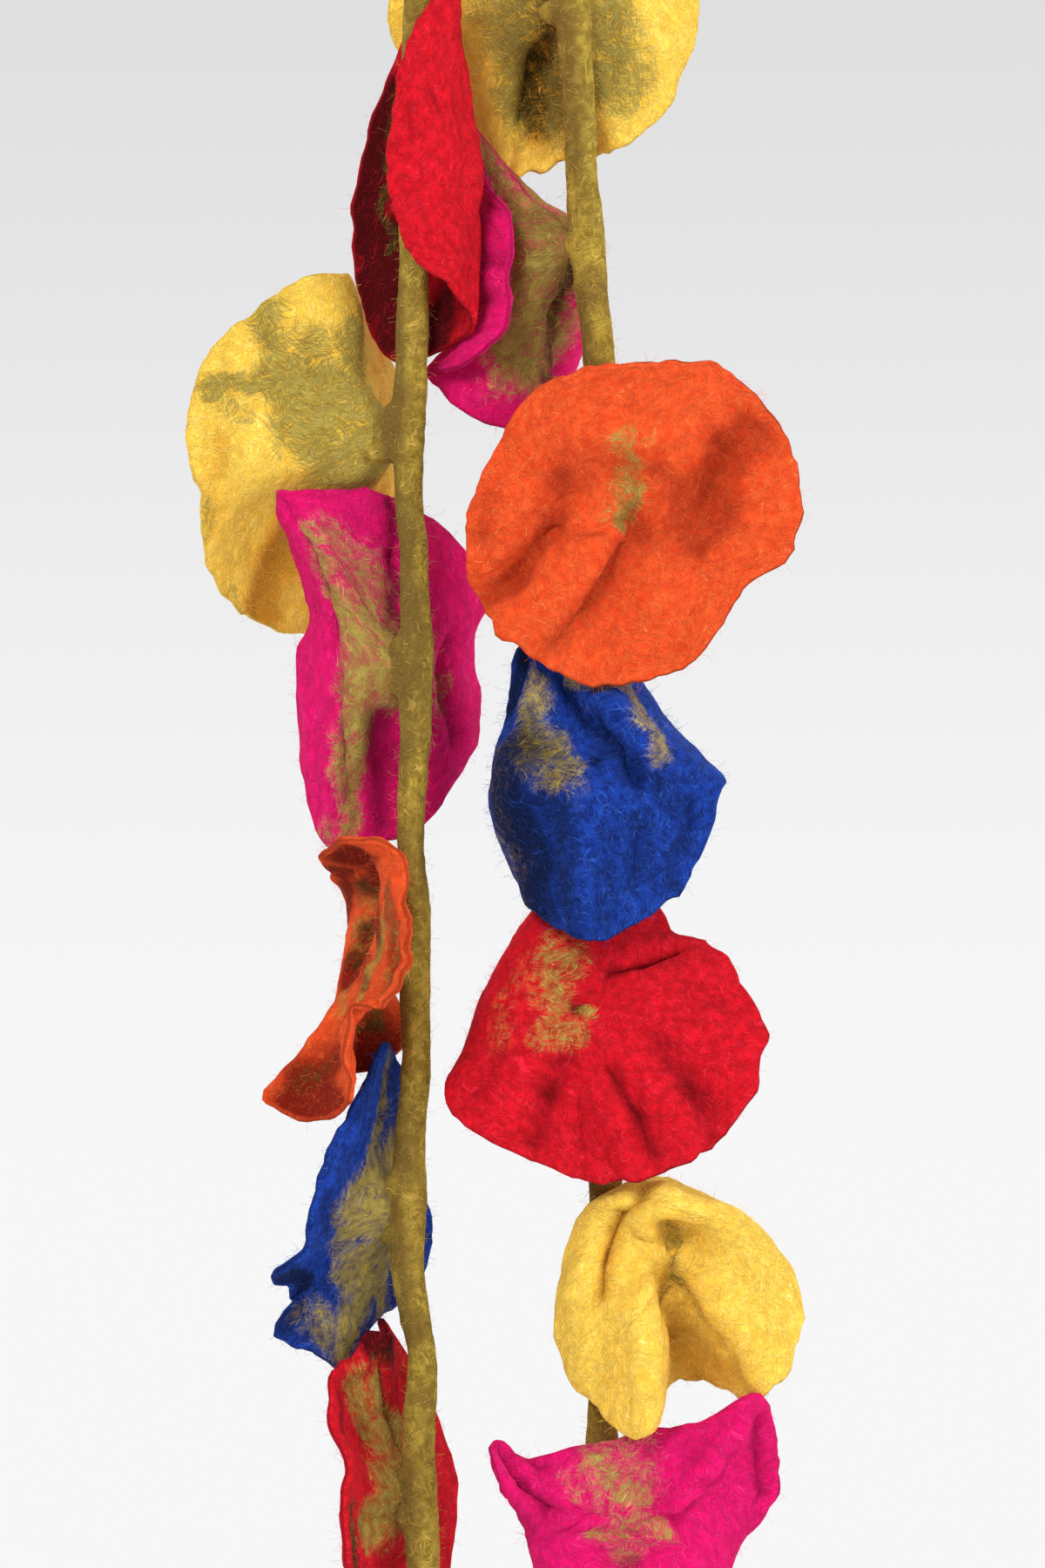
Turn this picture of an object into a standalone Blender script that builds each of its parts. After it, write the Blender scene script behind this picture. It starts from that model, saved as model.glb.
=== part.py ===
"""Felt flower garland, hung doubled over one point.

One green felt stem carries thirteen hand-felted flowers, six on its left strand and seven on its
right. Each flower is a round felt sheet, seated at the middle of its back on a neck of the stem.

Sizes in the tables are millimetres. "side" runs to the right, "near" towards the front and "up"
upwards, from the middle of the flower in the flower tables and from the hanging point elsewhere.
"""

from collections import namedtuple
from math import cos, pi, sin

import bmesh
import bpy
from mathutils import Vector

MM = 0.001

SHEET_THICKNESS = 2.4
SEAT_GAP = 0.3
SEAT_REACH = 0.14
SEAT_BLEND = 0.4
RING_REACHES = (0.14, 0.34, 0.56, 0.79, 1.0)
STEPS_PER_SPOKE = 2

STEM_SIDES = 10
STEM_STEP = 11.0
NECK_SIDES = 8
NECK_RINGS = 5
NECK_ROOT_RADIUS = 4.2
NECK_WAIST_RADIUS = 3.6
NECK_SEAT_RADIUS = 4.8
NECK_COLLAR = 1.0
NECK_STRAIGHT = 8.0

# Past each end of the stem, as shares of its radius there: how far on the tip lies, and how wide it is.
TIP_LENGTH = 0.55
TIP_WIDTH = 0.6

FELT_ROUGHNESS = 0.95

FELT_COLOURS = {
    "green": (0.30, 0.26, 0.05),
    "red": (0.62, 0.01, 0.03),
    "yellow": (0.86, 0.55, 0.08),
    "pink": (0.74, 0.01, 0.20),
    "orange": (0.80, 0.09, 0.02),
    "blue": (0.01, 0.04, 0.38),
}

StemPoint = namedtuple("StemPoint", "side near up radius")

STEM_POINTS = (
    StemPoint(-21.0, 0.0, -604.0, 3.2),
    StemPoint(-20.5, 0.0, -580.0, 3.9),
    StemPoint(-20.3, 0.0, -550.0, 4.2),
    StemPoint(-21.2, 0.0, -530.0, 4.5),
    StemPoint(-21.5, 0.0, -510.0, 4.1),
    StemPoint(-20.5, 0.0, -492.0, 3.6),
    StemPoint(-22.3, 0.0, -480.0, 3.7),
    StemPoint(-24.8, 0.0, -465.0, 4.3),
    StemPoint(-24.6, 0.0, -447.0, 4.6),
    StemPoint(-23.8, 0.0, -425.0, 3.8),
    StemPoint(-22.4, 0.0, -405.0, 3.6),
    StemPoint(-22.6, 0.0, -387.0, 3.9),
    StemPoint(-22.6, 0.0, -365.0, 3.9),
    StemPoint(-23.8, 0.0, -338.0, 3.5),
    StemPoint(-22.8, 0.0, -312.0, 3.9),
    StemPoint(-22.4, 0.0, -290.0, 4.3),
    StemPoint(-22.8, 0.0, -262.0, 3.5),
    StemPoint(-24.5, 0.0, -242.0, 3.7),
    StemPoint(-24.3, 0.0, -222.0, 4.3),
    StemPoint(-23.4, 0.0, -200.0, 3.9),
    StemPoint(-23.2, 0.0, -175.0, 3.6),
    StemPoint(-23.0, 0.0, -147.0, 4.0),
    StemPoint(-22.4, 0.0, -122.0, 3.7),
    StemPoint(-21.5, 0.0, -100.0, 3.9),
    StemPoint(-21.6, 0.0, -62.0, 4.0),
    StemPoint(-19.6, 0.0, -30.0, 4.0),
    StemPoint(-11.8, 0.0, -11.0, 4.1),
    StemPoint(0.0, 0.0, -4.2, 4.2),
    StemPoint(12.0, 0.0, -11.0, 4.1),
    StemPoint(20.2, 0.0, -30.0, 4.0),
    StemPoint(22.0, 0.0, -62.0, 4.0),
    StemPoint(22.6, 0.0, -100.0, 4.4),
    StemPoint(24.2, 0.0, -125.0, 4.1),
    StemPoint(25.2, 0.0, -150.0, 4.0),
    StemPoint(27.0, 0.0, -170.0, 4.6),
    StemPoint(28.8, 0.0, -190.0, 4.2),
    StemPoint(30.2, 0.0, -208.0, 4.1),
    StemPoint(31.4, 0.0, -249.0, 4.4),
    StemPoint(31.2, 0.0, -285.0, 4.0),
    StemPoint(31.0, 0.0, -320.0, 4.4),
    StemPoint(31.3, 0.0, -355.0, 4.0),
    StemPoint(31.6, 0.0, -390.0, 4.4),
    StemPoint(32.2, 0.0, -440.0, 4.0),
    StemPoint(31.6, 0.0, -464.0, 4.4),
    StemPoint(31.2, 0.0, -503.0, 3.9),
    StemPoint(31.0, 0.0, -533.0, 4.4),
    StemPoint(31.2, 0.0, -570.0, 3.9),
    StemPoint(31.5, 0.0, -600.0, 3.2),
)

# A spoke is one radius of a flower: where its end lies at the edge, and where its middle lies.
Spoke = namedtuple("Spoke", "side near up half_side half_near half_up")

# A flower's spokes go anticlockwise as its open face is seen. root_up is where its neck leaves
# the stem.
Flower = namedtuple("Flower", "name colour middle root_side root_up spokes")

# Wrapped back round the left strand, with one flap in front of it and one behind.
LEFT_1_RED = Flower(
    "flower_left_1_red",
    "red",
    (-6, 2, -147),
    -23.0,
    -147,
    (
        Spoke(-5, 2, 53, -3, 3, 28),
        Spoke(-16, 14, 37, -6, 12, 19),
        Spoke(-21, 18, 18, -6, 15, 9),
        Spoke(-23, 20, -6, -6, 17, -3),
        Spoke(-17, 20, -26, -5, 15, -14),
        Spoke(-6, 14, -36, -1, 9, -21),
        Spoke(0, 2, -46, 1, 1, -24),
        Spoke(-11, -8, -53, -3, -6, -26),
        Spoke(-24, -16, -54, -10, -12, -23),
        Spoke(-32, -22, -37, -14, -16, -16),
        Spoke(-34, -24, -16, -15, -18, -7),
        Spoke(-30, -22, 8, -14, -16, 5),
        Spoke(-23, -18, 29, -10, -12, 17),
        Spoke(-13, -10, 46, -6, -5, 26),
    ),
)

# Back seen, with its right side turned away behind the strand.
LEFT_2_YELLOW = Flower(
    "flower_left_2_yellow",
    "yellow",
    (-40, -9, -227),
    -24.3,
    -222,
    (
        Spoke(-6, -8, 48, -2, 0, 25),
        Spoke(3, -30, 40, 3, -8, 23),
        Spoke(11, -40, 20, 6, -14, 13),
        Spoke(13, -46, 1, 8, -18, 0),
        Spoke(11, -42, -15, 7, -16, -10),
        Spoke(2, -42, -32, 3, -14, -18),
        Spoke(-6, -38, -48, -3, -15, -24),
        Spoke(-20, -36, -53, -12, -16, -26),
        Spoke(-36, -20, -45, -22, -11, -21),
        Spoke(-43, -8, -32, -24, -4, -14),
        Spoke(-44, 0, -18, -24, 1, -8),
        Spoke(-48, 3, 3, -25, 4, 2),
        Spoke(-42, 0, 25, -22, 3, 13),
        Spoke(-27, -4, 39, -14, 2, 20),
    ),
)

# Back seen, rounded about the strand, its left edge rolled away.
LEFT_3_PINK = Flower(
    "flower_left_3_pink",
    "pink",
    (-31, -9, -292),
    -22.4,
    -290,
    (
        Spoke(1, 0, 49, 1, -2, 25),
        Spoke(14, -14, 42, 12, -7, 22),
        Spoke(25, -24, 26, 16, -10, 12),
        Spoke(24, -30, 6, 15, -14, 2),
        Spoke(26, -24, -15, 17, -9, -10),
        Spoke(19, -16, -32, 13, -7, -20),
        Spoke(10, -14, -44, 5, -9, -24),
        Spoke(-4, -10, -50, -3, -7, -25),
        Spoke(-17, -14, -50, -10, -2, -24),
        Spoke(-24, -18, -28, -14, -1, -14),
        Spoke(-25, -19, 2, -15, -1, -1),
        Spoke(-21, -15, 16, -15, 0, 13),
        Spoke(-27, -4, 36, -17, 1, 24),
        Spoke(-30, 6, 48, -15, 3, 27),
        Spoke(-15, 4, 51, -8, 1, 26),
    ),
)

# Open face to the left, seen almost edge on, with a turned lower lobe.
LEFT_4_ORANGE = Flower(
    "flower_left_4_orange",
    "orange",
    (-35, 8, -373),
    -22.6,
    -378,
    (
        Spoke(-13, -6, 26, 3, -2, 19),
        Spoke(-11, -20, 22, 0, -12, 15),
        Spoke(-7, -36, 14, -4, -16, 9),
        Spoke(-3, -40, -4, -7, -14, -2),
        Spoke(7, -30, -18, -8, -14, -10),
        Spoke(4, -20, -32, -10, -9, -18),
        Spoke(-29, -2, -39, -14, -5, -22),
        Spoke(-17, 6, -47, -9, -1, -24),
        Spoke(-6, 16, -42, -6, 5, -22),
        Spoke(-7, 22, -28, -5, 10, -16),
        Spoke(-3, 26, -17, -2, 14, -12),
        Spoke(5, 30, -14, 1, 17, -7),
        Spoke(13, 36, -2, 4, 20, -2),
        Spoke(12, 34, 12, 4, 20, 8),
        Spoke(8, 22, 28, 4, 14, 17),
        Spoke(-5, 12, 32, 4, 7, 20),
    ),
)

# Back seen aslant, narrow at the top, pinched at its lower left.
LEFT_5_BLUE = Flower(
    "flower_left_5_blue",
    "blue",
    (-36, -4, -448),
    -24.6,
    -447,
    (
        Spoke(4, 4, 47, 2, 2, 23),
        Spoke(9, -10, 38, 4, -6, 20),
        Spoke(13, -36, 8, 4, -14, 9),
        Spoke(17, -36, -10, 6, -18, -3),
        Spoke(10, -24, -26, 5, -14, -14),
        Spoke(1, -10, -32, 3, -6, -16),
        Spoke(-6, 2, -43, -2, -1, -22),
        Spoke(-15, 12, -39, -7, 4, -20),
        Spoke(-25, 22, -33, -11, 9, -17),
        Spoke(-20, 14, -24, -12, 10, -12),
        Spoke(-26, 24, -17, -12, 14, -8),
        Spoke(-17, 34, -9, -9, 17, -4),
        Spoke(-15, 36, 2, -8, 18, 1),
        Spoke(-10, 28, 18, -5, 14, 10),
        Spoke(-3, 16, 33, -1, 8, 17),
    ),
)

# Back seen aslant, with a knob of its edge curled over at the top.
LEFT_6_RED = Flower(
    "flower_left_6_red",
    "red",
    (-32, -6, -529),
    -21.2,
    -530,
    (
        Spoke(2, 2, 43, 1, 0, 22),
        Spoke(-1, -12, 49, 3, -4, 25),
        Spoke(7, -16, 35, 6, -8, 18),
        Spoke(14, -34, 19, 7, -16, 9),
        Spoke(20, -38, 0, 9, -18, 0),
        Spoke(19, -32, -19, 9, -15, -10),
        Spoke(14, -22, -34, 7, -10, -18),
        Spoke(4, -6, -45, 2, -3, -23),
        Spoke(-5, 10, -39, -3, 5, -20),
        Spoke(-9, 26, -21, -5, 12, -12),
        Spoke(-10, 32, -4, -6, 16, -2),
        Spoke(-10, 30, 9, -6, 15, 5),
        Spoke(-14, 24, 23, -8, 12, 13),
        Spoke(-13, 14, 36, -7, 7, 20),
        Spoke(-6, 8, 39, -3, 4, 21),
    ),
)

# Back seen, spread wide behind both strands, with one deep upright fold.
RIGHT_1_YELLOW = Flower(
    "flower_right_1_yellow",
    "yellow",
    (15, -11, -102),
    22.6,
    -104,
    (
        Spoke(3, -4, 46, 2, -2, 23),
        Spoke(24, -6, 39, 12, 0, 20),
        Spoke(39, -4, 22, 20, 2, 11),
        Spoke(43, -6, -3, 22, 3, -1),
        Spoke(34, -2, -27, 19, 4, -13),
        Spoke(20, 0, -39, 11, 3, -20),
        Spoke(4, -14, -43, 1, -12, -20),
        Spoke(-10, -10, -46, -7, -9, -22),
        Spoke(-22, -14, -33, -14, -8, -18),
        Spoke(-37, -16, -18, -20, -10, -9),
        Spoke(-45, -14, 0, -23, -8, 0),
        Spoke(-40, -10, 24, -20, -5, 12),
        Spoke(-22, -6, 42, -11, -2, 21),
    ),
)

# Back seen, its left edge turned over towards the front.
RIGHT_2_PINK = Flower(
    "flower_right_2_pink",
    "pink",
    (19, -8, -172),
    26.8,
    -169,
    (
        Spoke(-20, -8, 29, -10, -4, 17),
        Spoke(-12, -14, 15, -3, -6, 13),
        Spoke(-4, -24, 9, 5, -9, 8),
        Spoke(4, -36, 4, 9, -15, 1),
        Spoke(6, -40, -12, 9, -16, -9),
        Spoke(5, -34, -28, 6, -14, -17),
        Spoke(-2, -16, -44, 0, -8, -23),
        Spoke(-11, -6, -50, -7, -2, -25),
        Spoke(-25, -2, -46, -14, 0, -23),
        Spoke(-38, -6, -34, -21, -2, -20),
        Spoke(-28, 7, -32, -24, -2, -18),
        Spoke(-16, 14, -22, -25, -5, -13),
        Spoke(-15, 15, -6, -24, -6, -3),
        Spoke(-15, 14, 9, -23, -5, 7),
        Spoke(-22, 0, 21, -18, -5, 14),
        Spoke(-28, -6, 38, -15, -3, 21),
    ),
)

# Open face seen square on, a wide disc with shallow waves.
RIGHT_3_ORANGE = Flower(
    "flower_right_3_orange",
    "orange",
    (39, 17, -249),
    31.4,
    -249,
    (
        Spoke(1, 10, 46, 1, 7, 23),
        Spoke(-22, 6, 40, -14, 5, 21),
        Spoke(-38, 0, 18, -18, -1, 9),
        Spoke(-46, -3, -3, -23, -1, -2),
        Spoke(-42, -4, -24, -20, -3, -10),
        Spoke(-26, 6, -40, -11, 5, -18),
        Spoke(-8, 0, -47, -5, -2, -23),
        Spoke(16, 5, -41, 8, 3, -23),
        Spoke(31, 4, -23, 17, 2, -13),
        Spoke(47, 2, -3, 23, 2, -1),
        Spoke(44, -5, 22, 23, -1, 13),
        Spoke(27, 5, 43, 13, 6, 24),
    ),
)

# Open face outwards, bent back about the strand, with one slanting fold.
RIGHT_4_BLUE = Flower(
    "flower_right_4_blue",
    "blue",
    (25, 16, -320),
    31.0,
    -320,
    (
        Spoke(8, -9, 38, 3, -6, 20),
        Spoke(-8, -9, 38, -5, -6, 19),
        Spoke(-18, -14, 33, -11, -3, 13),
        Spoke(-19, -33, 6, -22, -8, 3),
        Spoke(-20, -31, -21, -22, -7, -12),
        Spoke(-13, -4, -41, -9, -1, -21),
        Spoke(2, 6, -48, 1, 4, -24),
        Spoke(20, 3, -41, 11, 3, -20),
        Spoke(33, -4, -26, 19, 0, -12),
        Spoke(38, -8, -5, 22, -2, -1),
        Spoke(25, -26, 12, 19, -1, 9),
        Spoke(13, -13, 30, 9, -3, 19),
    ),
)

# Open face seen, spread downwards like a skirt, its left side folded back.
RIGHT_5_RED = Flower(
    "flower_right_5_red",
    "red",
    (25, 11, -390),
    31.6,
    -390,
    (
        Spoke(8, -3, 40, 5, 0, 20),
        Spoke(-8, -16, 34, -11, -2, 18),
        Spoke(-22, -24, 14, -19, -3, 9),
        Spoke(-32, -18, -9, -22, -1, -1),
        Spoke(-37, 2, -27, -19, 2, -13),
        Spoke(-12, 9, -42, -6, 4, -21),
        Spoke(8, 10, -47, 4, 5, -23),
        Spoke(28, 12, -42, 13, 6, -21),
        Spoke(44, 6, -29, 22, 4, -13),
        Spoke(51, 0, -6, 25, 2, -2),
        Spoke(40, -2, 15, 21, 1, 9),
        Spoke(27, -10, 24, 15, -1, 14),
    ),
)

# Folded into two flaps, with the open face deep between them.
RIGHT_6_YELLOW = Flower(
    "flower_right_6_yellow",
    "yellow",
    (51, 6, -461),
    31.6,
    -464,
    (
        Spoke(-3, -12, 22, -4, 12, 17),
        Spoke(-17, 5, 19, -12, 12, 14),
        Spoke(-25, 4, 12, -15, 9, 9),
        Spoke(-32, 6, -9, -18, 12, -2),
        Spoke(-30, 8, -29, -17, 14, -12),
        Spoke(-19, 14, -43, -11, 16, -18),
        Spoke(-7, 20, -49, -4, 18, -21),
        Spoke(-1, -6, -36, 2, 1, -18),
        Spoke(12, -10, -36, 8, -3, -16),
        Spoke(28, 10, -38, 15, 6, -15),
        Spoke(36, 8, -16, 20, 9, -4),
        Spoke(31, 0, 1, 18, 7, 6),
        Spoke(18, -14, 12, 12, 9, 13),
    ),
)

# Open face seen, its top bent back and its two upper corners drawn out.
RIGHT_7_PINK = Flower(
    "flower_right_7_pink",
    "pink",
    (37, 15, -535),
    31.0,
    -533,
    (
        Spoke(-2, -7, 10, -2, 3, 22),
        Spoke(-17, -7, 10, -13, 3, 20),
        Spoke(-36, 0, 22, -20, 3, 10),
        Spoke(-33, 8, 9, -19, 2, 3),
        Spoke(-20, -26, -18, -23, -3, -8),
        Spoke(-16, -6, -42, -14, 2, -19),
        Spoke(2, -2, -47, 0, 4, -22),
        Spoke(17, -10, -42, 13, 3, -20),
        Spoke(26, -26, -20, 26, -2, -12),
        Spoke(41, 2, 5, 24, 2, 4),
        Spoke(43, -4, 20, 25, 4, 12),
        Spoke(37, 2, 35, 20, 5, 20),
        Spoke(13, -7, 16, 10, 3, 25),
    ),
)

FLOWERS = (
    LEFT_1_RED,
    LEFT_2_YELLOW,
    LEFT_3_PINK,
    LEFT_4_ORANGE,
    LEFT_5_BLUE,
    LEFT_6_RED,
    RIGHT_1_YELLOW,
    RIGHT_2_PINK,
    RIGHT_3_ORANGE,
    RIGHT_4_BLUE,
    RIGHT_5_RED,
    RIGHT_6_YELLOW,
    RIGHT_7_PINK,
)


def place(side, near, up):
    """A point of the tables, with its front towards -Y."""
    return Vector((side, -near, up))


def curve_between(before, start, end, after, part):
    """A smooth curve from start to end, which aims past its two outer points."""
    return 0.5 * (
        2.0 * start
        + (end - before) * part
        + (2.0 * before - 5.0 * start + 4.0 * end - after) * part**2
        + (3.0 * start - before - 3.0 * end + after) * part**3
    )


def around(points, turn):
    """The closed curve through the points, at turn points along it."""
    count = len(points)
    index = int(turn) % count
    four = [points[(index + step) % count] for step in (-1, 0, 1, 2)]
    return curve_between(*four, turn - int(turn))


def fade(value, low, high):
    """1 up to low and 0 from high, with a soft slope between."""
    part = min(max((value - low) / (high - low), 0.0), 1.0)
    return 1.0 - part * part * (3.0 - 2.0 * part)


def open_side(halves):
    """The way that the open face looks at the middle of the flower."""
    total = Vector((0.0, 0.0, 0.0))
    for index, half in enumerate(halves):
        total += half.cross(halves[(index + 1) % len(halves)])
    return total.normalized()


def flower_point(rims, halves, facing, turn, reach):
    """A point of the felt, from 0 at the flower's middle to a reach of 1 at its edge."""
    half = around(halves, turn)
    rim = around(rims, turn)
    point = half * (4.0 * reach * (1.0 - reach)) + rim * (2.0 * reach * reach - reach)
    flat = fade(reach, SEAT_REACH, SEAT_BLEND)
    return point - facing * (point.dot(facing) * flat)


def felt_material(colour):
    """Matt felt in one of the garland's colours."""
    material = bpy.data.materials.new("felt_" + colour)
    material.use_nodes = True
    shader = material.node_tree.nodes["Principled BSDF"]
    shader.inputs["Base Color"].default_value = (*FELT_COLOURS[colour], 1.0)
    shader.inputs["Roughness"].default_value = FELT_ROUGHNESS
    shader.inputs["Metallic"].default_value = 0.0
    material.diffuse_color = (*FELT_COLOURS[colour], 1.0)
    return material


def add_object(name, mesh, material):
    mesh.materials.append(material)
    piece = bpy.data.objects.new(name, mesh)
    bpy.context.scene.collection.objects.link(piece)
    return piece


def mesh_from(shape, name):
    bmesh.ops.recalc_face_normals(shape, faces=shape.faces)
    mesh = bpy.data.meshes.new(name)
    shape.to_mesh(mesh)
    shape.free()
    mesh.shade_smooth()
    return mesh


def make_flower(flower, material):
    """One felt sheet: rings of points round its middle, given its thickness by Solidify."""
    rims = [place(spoke.side, spoke.near, spoke.up) for spoke in flower.spokes]
    halves = [place(spoke.half_side, spoke.half_near, spoke.half_up) for spoke in flower.spokes]
    facing = open_side(halves)
    middle = place(*flower.middle)
    steps = len(rims) * STEPS_PER_SPOKE

    shape = bmesh.new()
    hub = shape.verts.new(middle * MM)
    rings = []
    for reach in RING_REACHES:
        ring = []
        for step in range(steps):
            offset = flower_point(rims, halves, facing, step / STEPS_PER_SPOKE, reach)
            ring.append(shape.verts.new((middle + offset) * MM))
        rings.append(ring)
    for step in range(steps):
        following = (step + 1) % steps
        shape.faces.new((hub, rings[0][step], rings[0][following]))
        for inner, outer in zip(rings, rings[1:]):
            shape.faces.new((inner[step], outer[step], outer[following], inner[following]))

    piece = add_object(flower.name, mesh_from(shape, flower.name), material)
    sheet = piece.modifiers.new("felt thickness", "SOLIDIFY")
    sheet.thickness = SHEET_THICKNESS * MM
    sheet.offset = 0.0
    return piece


def tube_mesh(name, points, radii, sides):
    """A closed tube along the points, with its ends capped."""
    shape = bmesh.new()
    rings = []
    across = Vector((0.0, 1.0, 0.0))
    for index, point in enumerate(points):
        before = points[max(index - 1, 0)]
        after = points[min(index + 1, len(points) - 1)]
        along = (after - before).normalized()
        across = (across - along * across.dot(along)).normalized()
        beside = along.cross(across)
        ring = []
        for side in range(sides):
            angle = 2.0 * pi * side / sides
            spread = across * cos(angle) + beside * sin(angle)
            ring.append(shape.verts.new((point + spread * radii[index]) * MM))
        rings.append(ring)
    for ring, next_ring in zip(rings, rings[1:]):
        for side in range(sides):
            other = (side + 1) % sides
            shape.faces.new((ring[side], ring[other], next_ring[other], next_ring[side]))
    shape.faces.new(rings[0])
    shape.faces.new(rings[-1])
    return mesh_from(shape, name)


def stem_course():
    """The points and radii of the stem, evenly spaced along its smooth course, ends rounded."""
    places = [place(point.side, point.near, point.up) for point in STEM_POINTS]
    radii = [point.radius for point in STEM_POINTS]
    last = len(places) - 1
    course = []
    widths = []
    for index in range(last):
        pieces = max(1, round((places[index + 1] - places[index]).length / STEM_STEP))
        ends = (max(index - 1, 0), index, index + 1, min(index + 2, last))
        for piece in range(pieces):
            part = piece / pieces
            course.append(curve_between(*(places[end] for end in ends), part))
            widths.append(curve_between(*(radii[end] for end in ends), part))
    course.append(places[last])
    widths.append(radii[last])
    first_tip = course[0] + (course[0] - course[1]).normalized() * (TIP_LENGTH * widths[0])
    last_tip = course[-1] + (course[-1] - course[-2]).normalized() * (TIP_LENGTH * widths[-1])
    course = [first_tip, *course, last_tip]
    widths = [TIP_WIDTH * widths[0], *widths, TIP_WIDTH * widths[-1]]
    return course, widths


def neck_course(flower):
    """The neck's points and radii, from inside the stem to its seat behind the flower."""
    halves = [place(spoke.half_side, spoke.half_near, spoke.half_up) for spoke in flower.spokes]
    facing = open_side(halves)
    root = place(flower.root_side, 0.0, flower.root_up)
    seat = place(*flower.middle) - facing * (0.5 * SHEET_THICKNESS + SEAT_GAP)
    collar = seat - facing * NECK_COLLAR
    bend = seat - facing * NECK_STRAIGHT
    points = []
    radii = []
    for ring in range(NECK_RINGS + 1):
        part = ring / NECK_RINGS
        left = 1.0 - part
        points.append(root * left**2 + bend * (2.0 * part * left) + collar * part**2)
        ends = NECK_ROOT_RADIUS * left + NECK_SEAT_RADIUS * part
        radii.append(ends - (ends - NECK_WAIST_RADIUS) * sin(pi * part))
    return points + [seat], radii + [NECK_SEAT_RADIUS]


def make_stem(material):
    """The doubled stem with its thirteen necks, joined into one solid."""
    stem = add_object("stem", tube_mesh("stem", *stem_course(), STEM_SIDES), material)
    for flower in FLOWERS:
        points, radii = neck_course(flower)
        name = flower.name.replace("flower", "neck")
        neck = add_object(name, tube_mesh(name, points, radii, NECK_SIDES), material)
        neck.hide_render = True
        neck.display_type = "WIRE"
        join = stem.modifiers.new(name, "BOOLEAN")
        join.operation = "UNION"
        join.object = neck
    return stem


def main():
    for old in list(bpy.data.objects):
        bpy.data.objects.remove(old)
    felts = {colour: felt_material(colour) for colour in FELT_COLOURS}
    make_stem(felts["green"])
    for flower in FLOWERS:
        make_flower(flower, felts[flower.colour])


main()
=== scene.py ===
"""Felt flower garland: the finished felt of a doubled green stem and its thirteen flowers.

Sizes in the tables are millimetres. "side" runs to the right, "near" towards the front and "up"
upwards. The stem and the flowers follow the frame's solids, from the same tables. The marks on the
felt are read off the photograph, and the script lays them on the flowers.
"""

from collections import namedtuple
from math import cos, pi, radians, sin

import bmesh
import bpy
import numpy as np
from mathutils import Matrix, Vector, noise


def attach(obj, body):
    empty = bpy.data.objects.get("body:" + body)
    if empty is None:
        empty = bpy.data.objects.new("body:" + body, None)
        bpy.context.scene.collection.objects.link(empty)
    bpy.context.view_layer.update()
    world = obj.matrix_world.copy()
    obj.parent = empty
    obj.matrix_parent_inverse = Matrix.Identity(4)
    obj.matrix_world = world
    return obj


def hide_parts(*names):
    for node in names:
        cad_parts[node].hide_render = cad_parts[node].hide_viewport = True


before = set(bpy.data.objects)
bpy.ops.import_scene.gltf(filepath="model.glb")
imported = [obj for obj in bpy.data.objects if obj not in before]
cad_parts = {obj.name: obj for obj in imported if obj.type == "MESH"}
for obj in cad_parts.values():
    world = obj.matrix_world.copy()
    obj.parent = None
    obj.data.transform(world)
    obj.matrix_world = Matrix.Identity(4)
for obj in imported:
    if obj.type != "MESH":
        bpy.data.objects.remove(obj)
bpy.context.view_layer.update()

bl_info = {
    "name": "Felt flower garland",
    "version": (1, 0, 0),
    "blender": (4, 5, 0),
    "location": "3D View > Sidebar > Garland",
    "description": "Makes a hand-felted flower garland, its fuzz and its studio",
    "category": "Add Mesh",
}

MM = 0.001
BODY = "root"

# The surface of a flower, as in the frame's solids.
SEAT_REACH = 0.14
SEAT_BLEND = 0.4
FLAT_RADIUS = 46.0

StemPoint = namedtuple("StemPoint", "side near up radius")

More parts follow.
